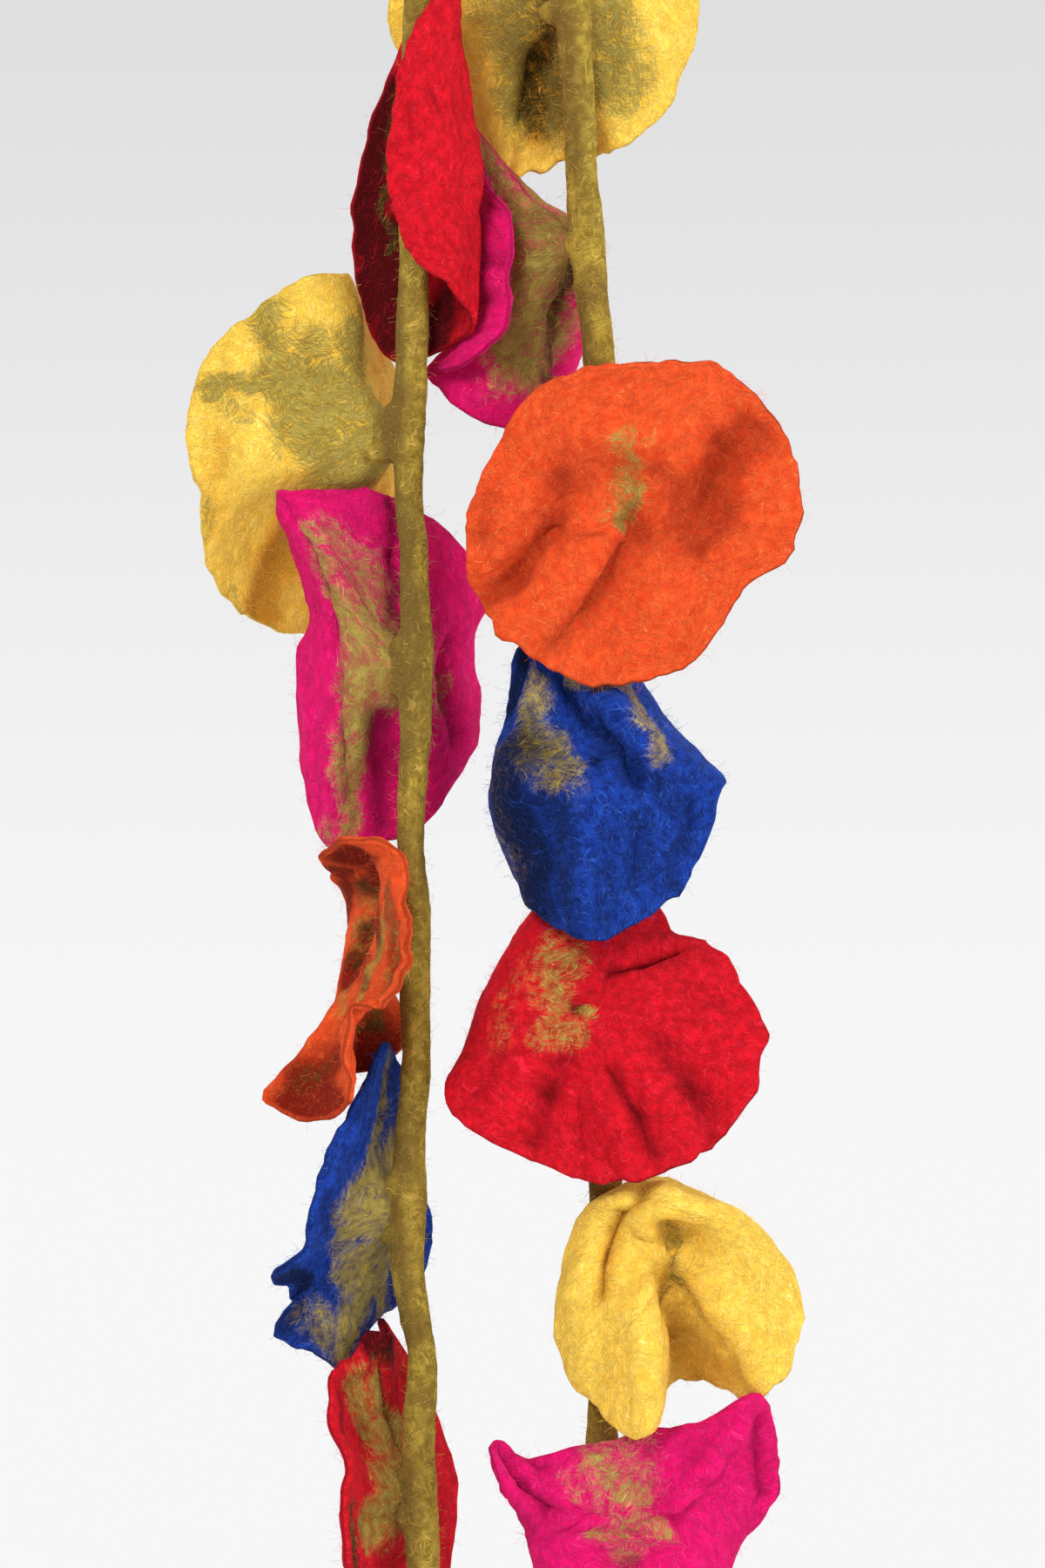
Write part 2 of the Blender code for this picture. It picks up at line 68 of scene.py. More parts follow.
STEM_POINTS = (
    StemPoint(-21.0, 0.0, -604.0, 3.2),
    StemPoint(-20.5, 0.0, -580.0, 3.9),
    StemPoint(-20.3, 0.0, -550.0, 4.2),
    StemPoint(-21.2, 0.0, -530.0, 4.5),
    StemPoint(-21.5, 0.0, -510.0, 4.1),
    StemPoint(-20.5, 0.0, -492.0, 3.6),
    StemPoint(-22.3, 0.0, -480.0, 3.7),
    StemPoint(-24.8, 0.0, -465.0, 4.3),
    StemPoint(-24.6, 0.0, -447.0, 4.6),
    StemPoint(-23.8, 0.0, -425.0, 3.8),
    StemPoint(-22.4, 0.0, -405.0, 3.6),
    StemPoint(-22.6, 0.0, -387.0, 3.9),
    StemPoint(-22.6, 0.0, -365.0, 3.9),
    StemPoint(-23.8, 0.0, -338.0, 3.5),
    StemPoint(-22.8, 0.0, -312.0, 3.9),
    StemPoint(-22.4, 0.0, -290.0, 4.3),
    StemPoint(-22.8, 0.0, -262.0, 3.5),
    StemPoint(-24.5, 0.0, -242.0, 3.7),
    StemPoint(-24.3, 0.0, -222.0, 4.3),
    StemPoint(-23.4, 0.0, -200.0, 3.9),
    StemPoint(-23.2, 0.0, -175.0, 3.6),
    StemPoint(-23.0, 0.0, -147.0, 4.0),
    StemPoint(-22.4, 0.0, -122.0, 3.7),
    StemPoint(-21.5, 0.0, -100.0, 3.9),
    StemPoint(-21.6, 0.0, -62.0, 4.0),
    StemPoint(-19.6, 0.0, -30.0, 4.0),
    StemPoint(-11.8, 0.0, -11.0, 4.1),
    StemPoint(0.0, 0.0, -4.2, 4.2),
    StemPoint(12.0, 0.0, -11.0, 4.1),
    StemPoint(20.2, 0.0, -30.0, 4.0),
    StemPoint(22.0, 0.0, -62.0, 4.0),
    StemPoint(22.6, 0.0, -100.0, 4.4),
    StemPoint(24.2, 0.0, -125.0, 4.1),
    StemPoint(25.2, 0.0, -150.0, 4.0),
    StemPoint(27.0, 0.0, -170.0, 4.6),
    StemPoint(28.8, 0.0, -190.0, 4.2),
    StemPoint(30.2, 0.0, -208.0, 4.1),
    StemPoint(31.4, 0.0, -249.0, 4.4),
    StemPoint(31.2, 0.0, -285.0, 4.0),
    StemPoint(31.0, 0.0, -320.0, 4.4),
    StemPoint(31.3, 0.0, -355.0, 4.0),
    StemPoint(31.6, 0.0, -390.0, 4.4),
    StemPoint(32.2, 0.0, -440.0, 4.0),
    StemPoint(31.6, 0.0, -464.0, 4.4),
    StemPoint(31.2, 0.0, -503.0, 3.9),
    StemPoint(31.0, 0.0, -533.0, 4.4),
    StemPoint(31.2, 0.0, -570.0, 3.9),
    StemPoint(31.5, 0.0, -600.0, 3.2),
)

# A spoke is one radius of a flower: where its end lies at the edge, and where its middle lies.
Spoke = namedtuple("Spoke", "side near up half_side half_near half_up")

# A flower's spokes go anticlockwise as its open face is seen. root_up is where its neck leaves
# the stem.
Flower = namedtuple("Flower", "name colour middle root_side root_up spokes")

# Wrapped back round the left strand, with one flap in front of it and one behind.
LEFT_1_RED = Flower(
    "flower_left_1_red",
    "red",
    (-6, 2, -147),
    -23.0,
    -147,
    (
        Spoke(-5, 2, 53, -3, 3, 28),
        Spoke(-16, 14, 37, -6, 12, 19),
        Spoke(-21, 18, 18, -6, 15, 9),
        Spoke(-23, 20, -6, -6, 17, -3),
        Spoke(-17, 20, -26, -5, 15, -14),
        Spoke(-6, 14, -36, -1, 9, -21),
        Spoke(0, 2, -46, 1, 1, -24),
        Spoke(-11, -8, -53, -3, -6, -26),
        Spoke(-24, -16, -54, -10, -12, -23),
        Spoke(-32, -22, -37, -14, -16, -16),
        Spoke(-34, -24, -16, -15, -18, -7),
        Spoke(-30, -22, 8, -14, -16, 5),
        Spoke(-23, -18, 29, -10, -12, 17),
        Spoke(-13, -10, 46, -6, -5, 26),
    ),
)

# Back seen, with its right side turned away behind the strand.
LEFT_2_YELLOW = Flower(
    "flower_left_2_yellow",
    "yellow",
    (-40, -9, -227),
    -24.3,
    -222,
    (
        Spoke(-6, -8, 48, -2, 0, 25),
        Spoke(3, -30, 40, 3, -8, 23),
        Spoke(11, -40, 20, 6, -14, 13),
        Spoke(13, -46, 1, 8, -18, 0),
        Spoke(11, -42, -15, 7, -16, -10),
        Spoke(2, -42, -32, 3, -14, -18),
        Spoke(-6, -38, -48, -3, -15, -24),
        Spoke(-20, -36, -53, -12, -16, -26),
        Spoke(-36, -20, -45, -22, -11, -21),
        Spoke(-43, -8, -32, -24, -4, -14),
        Spoke(-44, 0, -18, -24, 1, -8),
        Spoke(-48, 3, 3, -25, 4, 2),
        Spoke(-42, 0, 25, -22, 3, 13),
        Spoke(-27, -4, 39, -14, 2, 20),
    ),
)

# Back seen, rounded about the strand, its left edge rolled away.
LEFT_3_PINK = Flower(
    "flower_left_3_pink",
    "pink",
    (-31, -9, -292),
    -22.4,
    -290,
    (
        Spoke(1, 0, 49, 1, -2, 25),
        Spoke(14, -14, 42, 12, -7, 22),
        Spoke(25, -24, 26, 16, -10, 12),
        Spoke(24, -30, 6, 15, -14, 2),
        Spoke(26, -24, -15, 17, -9, -10),
        Spoke(19, -16, -32, 13, -7, -20),
        Spoke(10, -14, -44, 5, -9, -24),
        Spoke(-4, -10, -50, -3, -7, -25),
        Spoke(-17, -14, -50, -10, -2, -24),
        Spoke(-24, -18, -28, -14, -1, -14),
        Spoke(-25, -19, 2, -15, -1, -1),
        Spoke(-21, -15, 16, -15, 0, 13),
        Spoke(-27, -4, 36, -17, 1, 24),
        Spoke(-30, 6, 48, -15, 3, 27),
        Spoke(-15, 4, 51, -8, 1, 26),
    ),
)

# Open face to the left, seen almost edge on, with a turned lower lobe.
LEFT_4_ORANGE = Flower(
    "flower_left_4_orange",
    "orange",
    (-35, 8, -373),
    -22.6,
    -378,
    (
        Spoke(-13, -6, 26, 3, -2, 19),
        Spoke(-11, -20, 22, 0, -12, 15),
        Spoke(-7, -36, 14, -4, -16, 9),
        Spoke(-3, -40, -4, -7, -14, -2),
        Spoke(7, -30, -18, -8, -14, -10),
        Spoke(4, -20, -32, -10, -9, -18),
        Spoke(-29, -2, -39, -14, -5, -22),
        Spoke(-17, 6, -47, -9, -1, -24),
        Spoke(-6, 16, -42, -6, 5, -22),
        Spoke(-7, 22, -28, -5, 10, -16),
        Spoke(-3, 26, -17, -2, 14, -12),
        Spoke(5, 30, -14, 1, 17, -7),
        Spoke(13, 36, -2, 4, 20, -2),
        Spoke(12, 34, 12, 4, 20, 8),
        Spoke(8, 22, 28, 4, 14, 17),
        Spoke(-5, 12, 32, 4, 7, 20),
    ),
)

# Back seen aslant, narrow at the top, pinched at its lower left.
LEFT_5_BLUE = Flower(
    "flower_left_5_blue",
    "blue",
    (-36, -4, -448),
    -24.6,
    -447,
    (
        Spoke(4, 4, 47, 2, 2, 23),
        Spoke(9, -10, 38, 4, -6, 20),
        Spoke(13, -36, 8, 4, -14, 9),
        Spoke(17, -36, -10, 6, -18, -3),
        Spoke(10, -24, -26, 5, -14, -14),
        Spoke(1, -10, -32, 3, -6, -16),
        Spoke(-6, 2, -43, -2, -1, -22),
        Spoke(-15, 12, -39, -7, 4, -20),
        Spoke(-25, 22, -33, -11, 9, -17),
        Spoke(-20, 14, -24, -12, 10, -12),
        Spoke(-26, 24, -17, -12, 14, -8),
        Spoke(-17, 34, -9, -9, 17, -4),
        Spoke(-15, 36, 2, -8, 18, 1),
        Spoke(-10, 28, 18, -5, 14, 10),
        Spoke(-3, 16, 33, -1, 8, 17),
    ),
)

# Back seen aslant, with a knob of its edge curled over at the top.
LEFT_6_RED = Flower(
    "flower_left_6_red",
    "red",
    (-32, -6, -529),
    -21.2,
    -530,
    (
        Spoke(2, 2, 43, 1, 0, 22),
        Spoke(-1, -12, 49, 3, -4, 25),
        Spoke(7, -16, 35, 6, -8, 18),
        Spoke(14, -34, 19, 7, -16, 9),
        Spoke(20, -38, 0, 9, -18, 0),
        Spoke(19, -32, -19, 9, -15, -10),
        Spoke(14, -22, -34, 7, -10, -18),
        Spoke(4, -6, -45, 2, -3, -23),
        Spoke(-5, 10, -39, -3, 5, -20),
        Spoke(-9, 26, -21, -5, 12, -12),
        Spoke(-10, 32, -4, -6, 16, -2),
        Spoke(-10, 30, 9, -6, 15, 5),
        Spoke(-14, 24, 23, -8, 12, 13),
        Spoke(-13, 14, 36, -7, 7, 20),
        Spoke(-6, 8, 39, -3, 4, 21),
    ),
)

# Back seen, spread wide behind both strands, with one deep upright fold.
RIGHT_1_YELLOW = Flower(
    "flower_right_1_yellow",
    "yellow",
    (15, -11, -102),
    22.6,
    -104,
    (
        Spoke(3, -4, 46, 2, -2, 23),
        Spoke(24, -6, 39, 12, 0, 20),
        Spoke(39, -4, 22, 20, 2, 11),
        Spoke(43, -6, -3, 22, 3, -1),
        Spoke(34, -2, -27, 19, 4, -13),
        Spoke(20, 0, -39, 11, 3, -20),
        Spoke(4, -14, -43, 1, -12, -20),
        Spoke(-10, -10, -46, -7, -9, -22),
        Spoke(-22, -14, -33, -14, -8, -18),
        Spoke(-37, -16, -18, -20, -10, -9),
        Spoke(-45, -14, 0, -23, -8, 0),
        Spoke(-40, -10, 24, -20, -5, 12),
        Spoke(-22, -6, 42, -11, -2, 21),
    ),
)

# Back seen, its left edge turned over towards the front.
RIGHT_2_PINK = Flower(
    "flower_right_2_pink",
    "pink",
    (19, -8, -172),
    26.8,
    -169,
    (
        Spoke(-20, -8, 29, -10, -4, 17),
        Spoke(-12, -14, 15, -3, -6, 13),
        Spoke(-4, -24, 9, 5, -9, 8),
        Spoke(4, -36, 4, 9, -15, 1),
        Spoke(6, -40, -12, 9, -16, -9),
        Spoke(5, -34, -28, 6, -14, -17),
        Spoke(-2, -16, -44, 0, -8, -23),
        Spoke(-11, -6, -50, -7, -2, -25),
        Spoke(-25, -2, -46, -14, 0, -23),
        Spoke(-38, -6, -34, -21, -2, -20),
        Spoke(-28, 7, -32, -24, -2, -18),
        Spoke(-16, 14, -22, -25, -5, -13),
        Spoke(-15, 15, -6, -24, -6, -3),
        Spoke(-15, 14, 9, -23, -5, 7),
        Spoke(-22, 0, 21, -18, -5, 14),
        Spoke(-28, -6, 38, -15, -3, 21),
    ),
)

# Open face seen square on, a wide disc with shallow waves.
RIGHT_3_ORANGE = Flower(
    "flower_right_3_orange",
    "orange",
    (39, 17, -249),
    31.4,
    -249,
    (
        Spoke(1, 10, 46, 1, 7, 23),
        Spoke(-22, 6, 40, -14, 5, 21),
        Spoke(-38, 0, 18, -18, -1, 9),
        Spoke(-46, -3, -3, -23, -1, -2),
        Spoke(-42, -4, -24, -20, -3, -10),
        Spoke(-26, 6, -40, -11, 5, -18),
        Spoke(-8, 0, -47, -5, -2, -23),
        Spoke(16, 5, -41, 8, 3, -23),
        Spoke(31, 4, -23, 17, 2, -13),
        Spoke(47, 2, -3, 23, 2, -1),
        Spoke(44, -5, 22, 23, -1, 13),
        Spoke(27, 5, 43, 13, 6, 24),
    ),
)

# Open face outwards, bent back about the strand, with one slanting fold.
RIGHT_4_BLUE = Flower(
    "flower_right_4_blue",
    "blue",
    (25, 16, -320),
    31.0,
    -320,
    (
        Spoke(8, -9, 38, 3, -6, 20),
        Spoke(-8, -9, 38, -5, -6, 19),
        Spoke(-18, -14, 33, -11, -3, 13),
        Spoke(-19, -33, 6, -22, -8, 3),
        Spoke(-20, -31, -21, -22, -7, -12),
        Spoke(-13, -4, -41, -9, -1, -21),
        Spoke(2, 6, -48, 1, 4, -24),
        Spoke(20, 3, -41, 11, 3, -20),
        Spoke(33, -4, -26, 19, 0, -12),
        Spoke(38, -8, -5, 22, -2, -1),
        Spoke(25, -26, 12, 19, -1, 9),
        Spoke(13, -13, 30, 9, -3, 19),
    ),
)

# Open face seen, spread downwards like a skirt, its left side folded back.
RIGHT_5_RED = Flower(
    "flower_right_5_red",
    "red",
    (25, 11, -390),
    31.6,
    -390,
    (
        Spoke(8, -3, 40, 5, 0, 20),
        Spoke(-8, -16, 34, -11, -2, 18),
        Spoke(-22, -24, 14, -19, -3, 9),
        Spoke(-32, -18, -9, -22, -1, -1),
        Spoke(-37, 2, -27, -19, 2, -13),
        Spoke(-12, 9, -42, -6, 4, -21),
        Spoke(8, 10, -47, 4, 5, -23),
        Spoke(28, 12, -42, 13, 6, -21),
        Spoke(44, 6, -29, 22, 4, -13),
        Spoke(51, 0, -6, 25, 2, -2),
        Spoke(40, -2, 15, 21, 1, 9),
        Spoke(27, -10, 24, 15, -1, 14),
    ),
)

# Folded into two flaps, with the open face deep between them.
RIGHT_6_YELLOW = Flower(
    "flower_right_6_yellow",
    "yellow",
    (51, 6, -461),
    31.6,
    -464,
    (
        Spoke(-3, -12, 22, -4, 12, 17),
        Spoke(-17, 5, 19, -12, 12, 14),
        Spoke(-25, 4, 12, -15, 9, 9),
        Spoke(-32, 6, -9, -18, 12, -2),
        Spoke(-30, 8, -29, -17, 14, -12),
        Spoke(-19, 14, -43, -11, 16, -18),
        Spoke(-7, 20, -49, -4, 18, -21),
        Spoke(-1, -6, -36, 2, 1, -18),
        Spoke(12, -10, -36, 8, -3, -16),
        Spoke(28, 10, -38, 15, 6, -15),
        Spoke(36, 8, -16, 20, 9, -4),
        Spoke(31, 0, 1, 18, 7, 6),
        Spoke(18, -14, 12, 12, 9, 13),
    ),
)

# Open face seen, its top bent back and its two upper corners drawn out.
RIGHT_7_PINK = Flower(
    "flower_right_7_pink",
    "pink",
    (37, 15, -535),
    31.0,
    -533,
    (
        Spoke(-2, -7, 10, -2, 3, 22),
        Spoke(-17, -7, 10, -13, 3, 20),
        Spoke(-36, 0, 22, -20, 3, 10),
        Spoke(-33, 8, 9, -19, 2, 3),
        Spoke(-20, -26, -18, -23, -3, -8),
        Spoke(-16, -6, -42, -14, 2, -19),
        Spoke(2, -2, -47, 0, 4, -22),
        Spoke(17, -10, -42, 13, 3, -20),
        Spoke(26, -26, -20, 26, -2, -12),
        Spoke(41, 2, 5, 24, 2, 4),
        Spoke(43, -4, 20, 25, 4, 12),
        Spoke(37, 2, 35, 20, 5, 20),
        Spoke(13, -7, 16, 10, 3, 25),
    ),
)

FLOWERS = (
    LEFT_1_RED,
    LEFT_2_YELLOW,
    LEFT_3_PINK,
    LEFT_4_ORANGE,
    LEFT_5_BLUE,
    LEFT_6_RED,
    RIGHT_1_YELLOW,
    RIGHT_2_PINK,
    RIGHT_3_ORANGE,
    RIGHT_4_BLUE,
    RIGHT_5_RED,
    RIGHT_6_YELLOW,
    RIGHT_7_PINK,
)

# The photograph's scale: its pixels in millimetres at the depth of the stem, and the pixel of the hook.
PIXEL = 0.25
HOOK_PIXEL = (567, -400)

# What shows on a flower's felt: its folds, green wool, dark marks and uneven edge. The dark marks are
# dark wool together with painted shade in folds, in hollows and on parts turned from the light. Each
# mark runs through these pixels of the photograph. A fold with a positive height stands out on the face
# that shows there, and "out" moves the edge outwards. The flat dark marks, which are on both faces, and
# the flat edges have their places on the flower's flat disc instead, in millimetres.
Fold = namedtuple("Fold", "pixels width height")
Streak = namedtuple("Streak", "pixels width strength")
Edge = namedtuple("Edge", "pixels width out")
Look = namedtuple("Look", "folds greens darks edges flat_darks flat_edges", defaults=((), ()))
Size = namedtuple("Size", "height across")

LOOKS = {
    "flower_left_1_red": Look(
        folds=(
            Fold([(469, 129)], 3.0, -1.4),
            Fold([(496, 101), (504, 115)], 3.0, -1.0),
            Fold([(500, 200), (515, 300)], 8.0, 1.0),
        ),
        greens=(
            Streak([(452, 110), (443, 180), (443, 240), (449, 290)], 1.2, 0.9),
        ),
        darks=(
            Streak([(440, 130), (425, 200), (420, 340)], 10.0, 1.0),
            Streak([(450, 270), (445, 390)], 9.0, 1.0),
            Streak([(505, 360), (500, 400)], 8.0, 1.0),
            Streak([(498, 103), (504, 115)], 2.0, 0.35),
        ),
        edges=(
            Edge([(405, 241)], 5.0, 1.0),
            Edge([(512, 5)], 3.0, 1.5),
        ),
    ),
    "flower_left_2_yellow": Look(
        folds=(
            Fold([(300, 373), (309, 393)], 3.0, -1.4),
            Fold([(340, 373), (362, 418)], 3.0, -1.2),
            Fold([(247, 502), (253, 547)], 4.0, -1.6),
            Fold([(331, 583), (275, 693)], 3.2, 2.6),
            Fold([(317, 637), (303, 693)], 8.0, -1.6),
            Fold([(298, 519), (330, 560)], 6.0, 1.2),
            Fold([(345, 345), (400, 360)], 8.0, 1.2),
            Fold([(239, 437), (298, 432)], 4.0, -1.0),
        ),
        greens=(
            Streak([(325, 420), (350, 500), (380, 550)], 8.0, 1.0),
            Streak([(345, 440), (400, 470), (430, 500)], 10.0, 1.0),
            Streak([(380, 520), (415, 545)], 9.0, 1.0),
            Streak([(407, 385), (415, 440)], 6.0, 0.9),
            Streak([(357, 390), (360, 426)], 4.5, 0.8),
            Streak([(308, 360), (318, 435)], 5.0, 0.9),
            Streak([(340, 373), (362, 418)], 2.5, 0.5),
            Streak([(239, 437), (298, 432)], 4.0, 0.9),
            Streak([(261, 457), (275, 474)], 4.0, 0.6),
            Streak([(233, 583), (239, 623)], 3.0, 0.4),
            Streak([(261, 687)], 3.0, 0.5),
        ),
        darks=(
            Streak([(317, 620), (300, 693)], 8.0, 1.0),
            Streak([(330, 650)], 8.0, 0.9),
            Streak([(249, 505), (253, 547)], 4.0, 0.5),
            Streak([(240, 560), (250, 600)], 5.0, 0.4),
        ),
        edges=(
            Edge([(298, 370)], 3.0, -2.5),
            Edge([(230, 567)], 3.0, -2.0),
            Edge([(306, 352)], 3.0, 1.0),
            Edge([(362, 320)], 5.0, 1.0),
            Edge([(401, 318)], 5.0, 1.0),
        ),
    ),
    "flower_left_3_pink": Look(
        folds=(
            Fold(
                [(337, 587), (359, 629), (373, 670), (381, 714), (387, 779), (392, 862), (400, 916)],
                3.2,
                -1.3,
            ),
            Fold([(365, 600), (390, 680), (400, 780)], 5.0, 1.4),
            Fold([(346, 752), (355, 850)], 4.0, 1.0),
            Fold([(518, 738), (513, 793), (527, 848)], 3.6, -3.5),
            Fold([(538, 642), (549, 697), (535, 725)], 4.0, 1.4),
            Fold([(436, 834), (447, 889), (442, 944)], 5.0, -2.2),
            Fold([(453, 576), (455, 642), (453, 725)], 3.0, -2.5),
        ),
        greens=(
            Streak([(359, 620), (381, 683)], 4.0, 0.85),
            Streak([(381, 683), (406, 738), (414, 807)], 8.5, 0.95),
            Streak([(414, 807), (400, 889)], 7.0, 0.92),
            Streak([(400, 889), (400, 958)], 4.5, 0.85),
            Streak([(392, 629), (425, 670), (433, 714)], 8.0, 0.6),
            Streak([(433, 725), (464, 768)], 8.0, 0.97),
            Streak([(373, 955)], 4.0, 0.5),
            Streak([(496, 725), (502, 807)], 3.0, 0.5),
            Streak([(516, 779), (518, 815)], 2.6, 0.5),
        ),
        darks=(
            Streak([(453, 576), (455, 642), (453, 725)], 2.2, 1.0),
            Streak([(436, 834), (447, 889), (442, 944)], 5.0, 0.7),
            Streak([(518, 738), (513, 793), (527, 848)], 2.6, 0.7),
            Streak([(359, 692)], 2.0, 0.6),
        ),
        edges=(
            Edge([(535, 735)], 4.0, -2.5),
            Edge([(550, 842)], 5.0, 1.5),
            Edge([(324, 579)], 3.0, 2.0),
            Edge([(411, 585)], 3.0, -2.0),
        ),
    ),
    "flower_left_4_orange": Look(
        folds=(
            Fold([(454, 1006), (476, 1039), (479, 1084), (465, 1117), (447, 1152)], 3.0, 1.6),
            Fold([(430, 1152), (407, 1165), (403, 1200), (399, 1240)], 3.0, 1.6),
            Fold([(410, 985), (425, 1000)], 6.0, -2.2),
            Fold([(389, 1004), (408, 1008), (425, 1015)], 2.2, 1.2),
            Fold([(415, 1070), (416, 1100)], 4.0, -3.0),
            Fold([(425, 1035), (430, 1060)], 5.0, -1.2),
            Fold([(395, 1125), (402, 1110)], 4.0, -1.2),
            Fold([(425, 1110), (412, 1145)], 2.5, 1.0),
            Fold([(452, 1095), (438, 1135)], 3.5, -1.4),
            Fold([(370, 1210), (350, 1245)], 5.0, -1.0),
        ),
        greens=(
            Streak([(420, 1020), (430, 1060)], 6.0, 0.6),
            Streak([(440, 1060), (425, 1110), (412, 1145)], 4.0, 0.85),
            Streak([(410, 1060), (408, 1100)], 4.0, 0.6),
            Streak([(415, 1178), (438, 1166)], 2.4, 0.85),
            Streak([(392, 1140), (388, 1165)], 3.0, 0.5),
            Streak([(350, 1240), (375, 1225)], 5.0, 0.35),
            Streak([(445, 1120), (438, 1140)], 3.0, 0.6),
            Streak([(415, 1070), (416, 1100)], 4.0, 0.6),
            Streak([(445, 1030), (455, 1080), (440, 1130)], 4.0, 0.45),
        ),
        darks=(
            Streak([(385, 982), (430, 986)], 5.0, 0.8),
            Streak([(405, 985), (425, 1002)], 7.0, 1.0),
            Streak([(420, 1015), (432, 1060)], 7.0, 0.95),
            Streak([(414, 1072), (418, 1098)], 5.0, 1.0),
            Streak([(395, 1128), (405, 1105)], 5.0, 1.0),
            Streak([(410, 1105), (420, 1130)], 4.0, 0.6),
            Streak([(432, 1190), (425, 1225)], 10.0, 0.9),
            Streak([(330, 1262), (385, 1268)], 8.0, 0.95),
            Streak([(350, 1240), (385, 1225)], 9.0, 0.9),
            Streak([(375, 1225), (395, 1180)], 6.0, 0.55),
            Streak([(456, 1095), (438, 1138)], 4.0, 0.7),
            Streak([(385, 1000), (400, 1040)], 7.0, 0.9),
            Streak([(445, 1030), (454, 1065), (448, 1100)], 4.5, 0.6),
        ),
        edges=(
            Edge([(374, 985)], 4.0, 1.0),
            Edge([(310, 1247)], 4.0, 1.2),
            Edge([(398, 1040)], 6.0, -1.0),
            Edge([(385, 1170)], 6.0, -1.0),
        ),
    ),
    "flower_left_5_blue": Look(
        folds=(
            Fold([(385, 1364), (383, 1400), (385, 1430)], 3.0, -1.4),
            Fold([(446, 1235), (439, 1277), (429, 1319)], 2.6, -1.2),
            Fold([(425, 1240), (405, 1300), (380, 1360), (368, 1430)], 3.0, 1.2),
            Fold([(337, 1491)], 3.0, -3.0),
            Fold([(352, 1474), (385, 1445)], 3.0, 1.2),
            Fold([(345, 1485), (380, 1470)], 3.5, -1.6),
            Fold([(420, 1400), (430, 1480)], 8.0, 1.0),
            Fold([(400, 1500), (440, 1480)], 4.0, -1.0),
            Fold([(452, 1440), (445, 1500)], 4.0, -1.2),
        ),
        greens=(
            Streak([(446, 1225), (439, 1277)], 3.4, 0.8),
            Streak([(439, 1277), (429, 1319), (417, 1359)], 5.5, 0.97),
            Streak([(405, 1385), (455, 1385)], 11.0, 1.0),
            Streak([(400, 1410), (450, 1420)], 10.0, 1.0),
            Streak([(448, 1330), (456, 1370)], 8.0, 1.0),
            Streak([(410, 1440), (418, 1490)], 9.0, 1.0),
            Streak([(430, 1450), (440, 1500)], 6.0, 0.95),
            Streak([(409, 1500), (397, 1545)], 7.0, 0.95),
            Streak([(372, 1515), (392, 1552)], 6.0, 0.7),
            Streak([(388, 1400), (390, 1440)], 4.0, 0.6),
            Streak([(345, 1495), (375, 1520)], 5.0, 0.45),
        ),
        darks=(
            Streak([(325, 1459), (352, 1474)], 5.0, 0.95),
            Streak([(330, 1518), (345, 1500)], 6.0, 0.75),
            Streak([(375, 1377), (368, 1430)], 4.0, 0.45),
            Streak([(427, 1227), (417, 1272)], 4.0, 0.45),
            Streak([(350, 1520), (380, 1540)], 4.0, 0.4),
            Streak([(454, 1240), (454, 1302)], 3.0, 0.3),
        ),
        edges=(
            Edge([(323, 1490)], 4.0, -2.5),
            Edge([(323, 1460)], 3.0, 1.5),
            Edge([(323, 1522)], 4.0, 1.5),
            Edge([(392, 1565)], 4.0, 1.0),
        ),
    ),
    "flower_left_6_red": Look(
        folds=(
            Fold([(389, 1573), (418, 1571), (446, 1550)], 2.6, 1.5),
            Fold([(441, 1575), (448, 1620), (455, 1665)], 2.8, -2.2),
            Fold([(400, 1590), (420, 1640), (430, 1700)], 6.0, -1.0),
            Fold([(423, 1764), (445, 1758)], 3.0, 1.4),
            Fold([(415, 1745), (440, 1735)], 4.0, -1.2),
            Fold([(390, 1620), (400, 1690)], 5.0, 1.0),
            Fold([(436, 1530)], 7.0, -1.4),
            Fold([(406, 1740), (408, 1790)], 4.0, -1.6),
        ),
        greens=(
            Streak([(410, 1592), (424, 1630), (440, 1665)], 8.0, 0.8),
            Streak([(436, 1600), (446, 1640), (455, 1690)], 6.0, 0.9),
            Streak([(455, 1700), (440, 1735), (420, 1757)], 6.5, 0.97),
            Streak([(452, 1650), (460, 1700)], 6.0, 0.95),
            Streak([(446, 1563), (430, 1572)], 2.4, 0.3),
            Streak([(406, 1735), (408, 1790)], 3.5, 0.7),
            Streak([(425, 1690), (445, 1700)], 6.0, 0.7),
        ),
        darks=(
            Streak([(428, 1525), (440, 1545)], 8.0, 0.95),
            Streak([(389, 1605), (391, 1640)], 3.0, 0.6),
            Streak([(406, 1735), (409, 1795)], 4.0, 0.85),
            Streak([(458, 1655), (459, 1672)], 2.2, 0.4),
        ),
        edges=(
            Edge([(383, 1625)], 4.0, 1.2),
            Edge([(393, 1665)], 5.0, -1.0),
            Edge([(396, 1700)], 5.0, 1.0),
            Edge([(383, 1578)], 3.0, 1.5),
        ),
        flat_darks=(
            Streak([(44, -14), (46, 8)], 7.0, 0.9),
        ),
        flat_edges=(
            Edge([(44, -12)], 11.0, 6.0),
            Edge([(37, 27)], 8.0, 2.0),
            Edge([(44, 13)], 6.0, -4.0),
        ),
    ),
    "flower_right_1_yellow": Look(
        folds=(
            Fold([(622, -10), (614, 69), (606, 130)], 5.5, -5.0),
            Fold([(560, 60), (575, 120)], 7.0, 1.6),
            Fold([(619, 162), (645, 150)], 4.0, 1.2),
            Fold([(690, 20), (700, 120)], 8.0, 1.0),
            Fold([(588, 188), (596, 178)], 3.0, -1.6),
        ),
        greens=(
            Streak([(572, -10), (582, 60), (595, 120)], 8.0, 1.0),
            Streak([(590, 0), (640, 30)], 11.0, 1.0),
            Streak([(605, 60), (620, 130)], 9.0, 1.0),
            Streak([(640, 60), (640, 150)], 7.0, 1.0),
            Streak([(690, -10), (710, 60), (722, 95)], 10.0, 1.0),
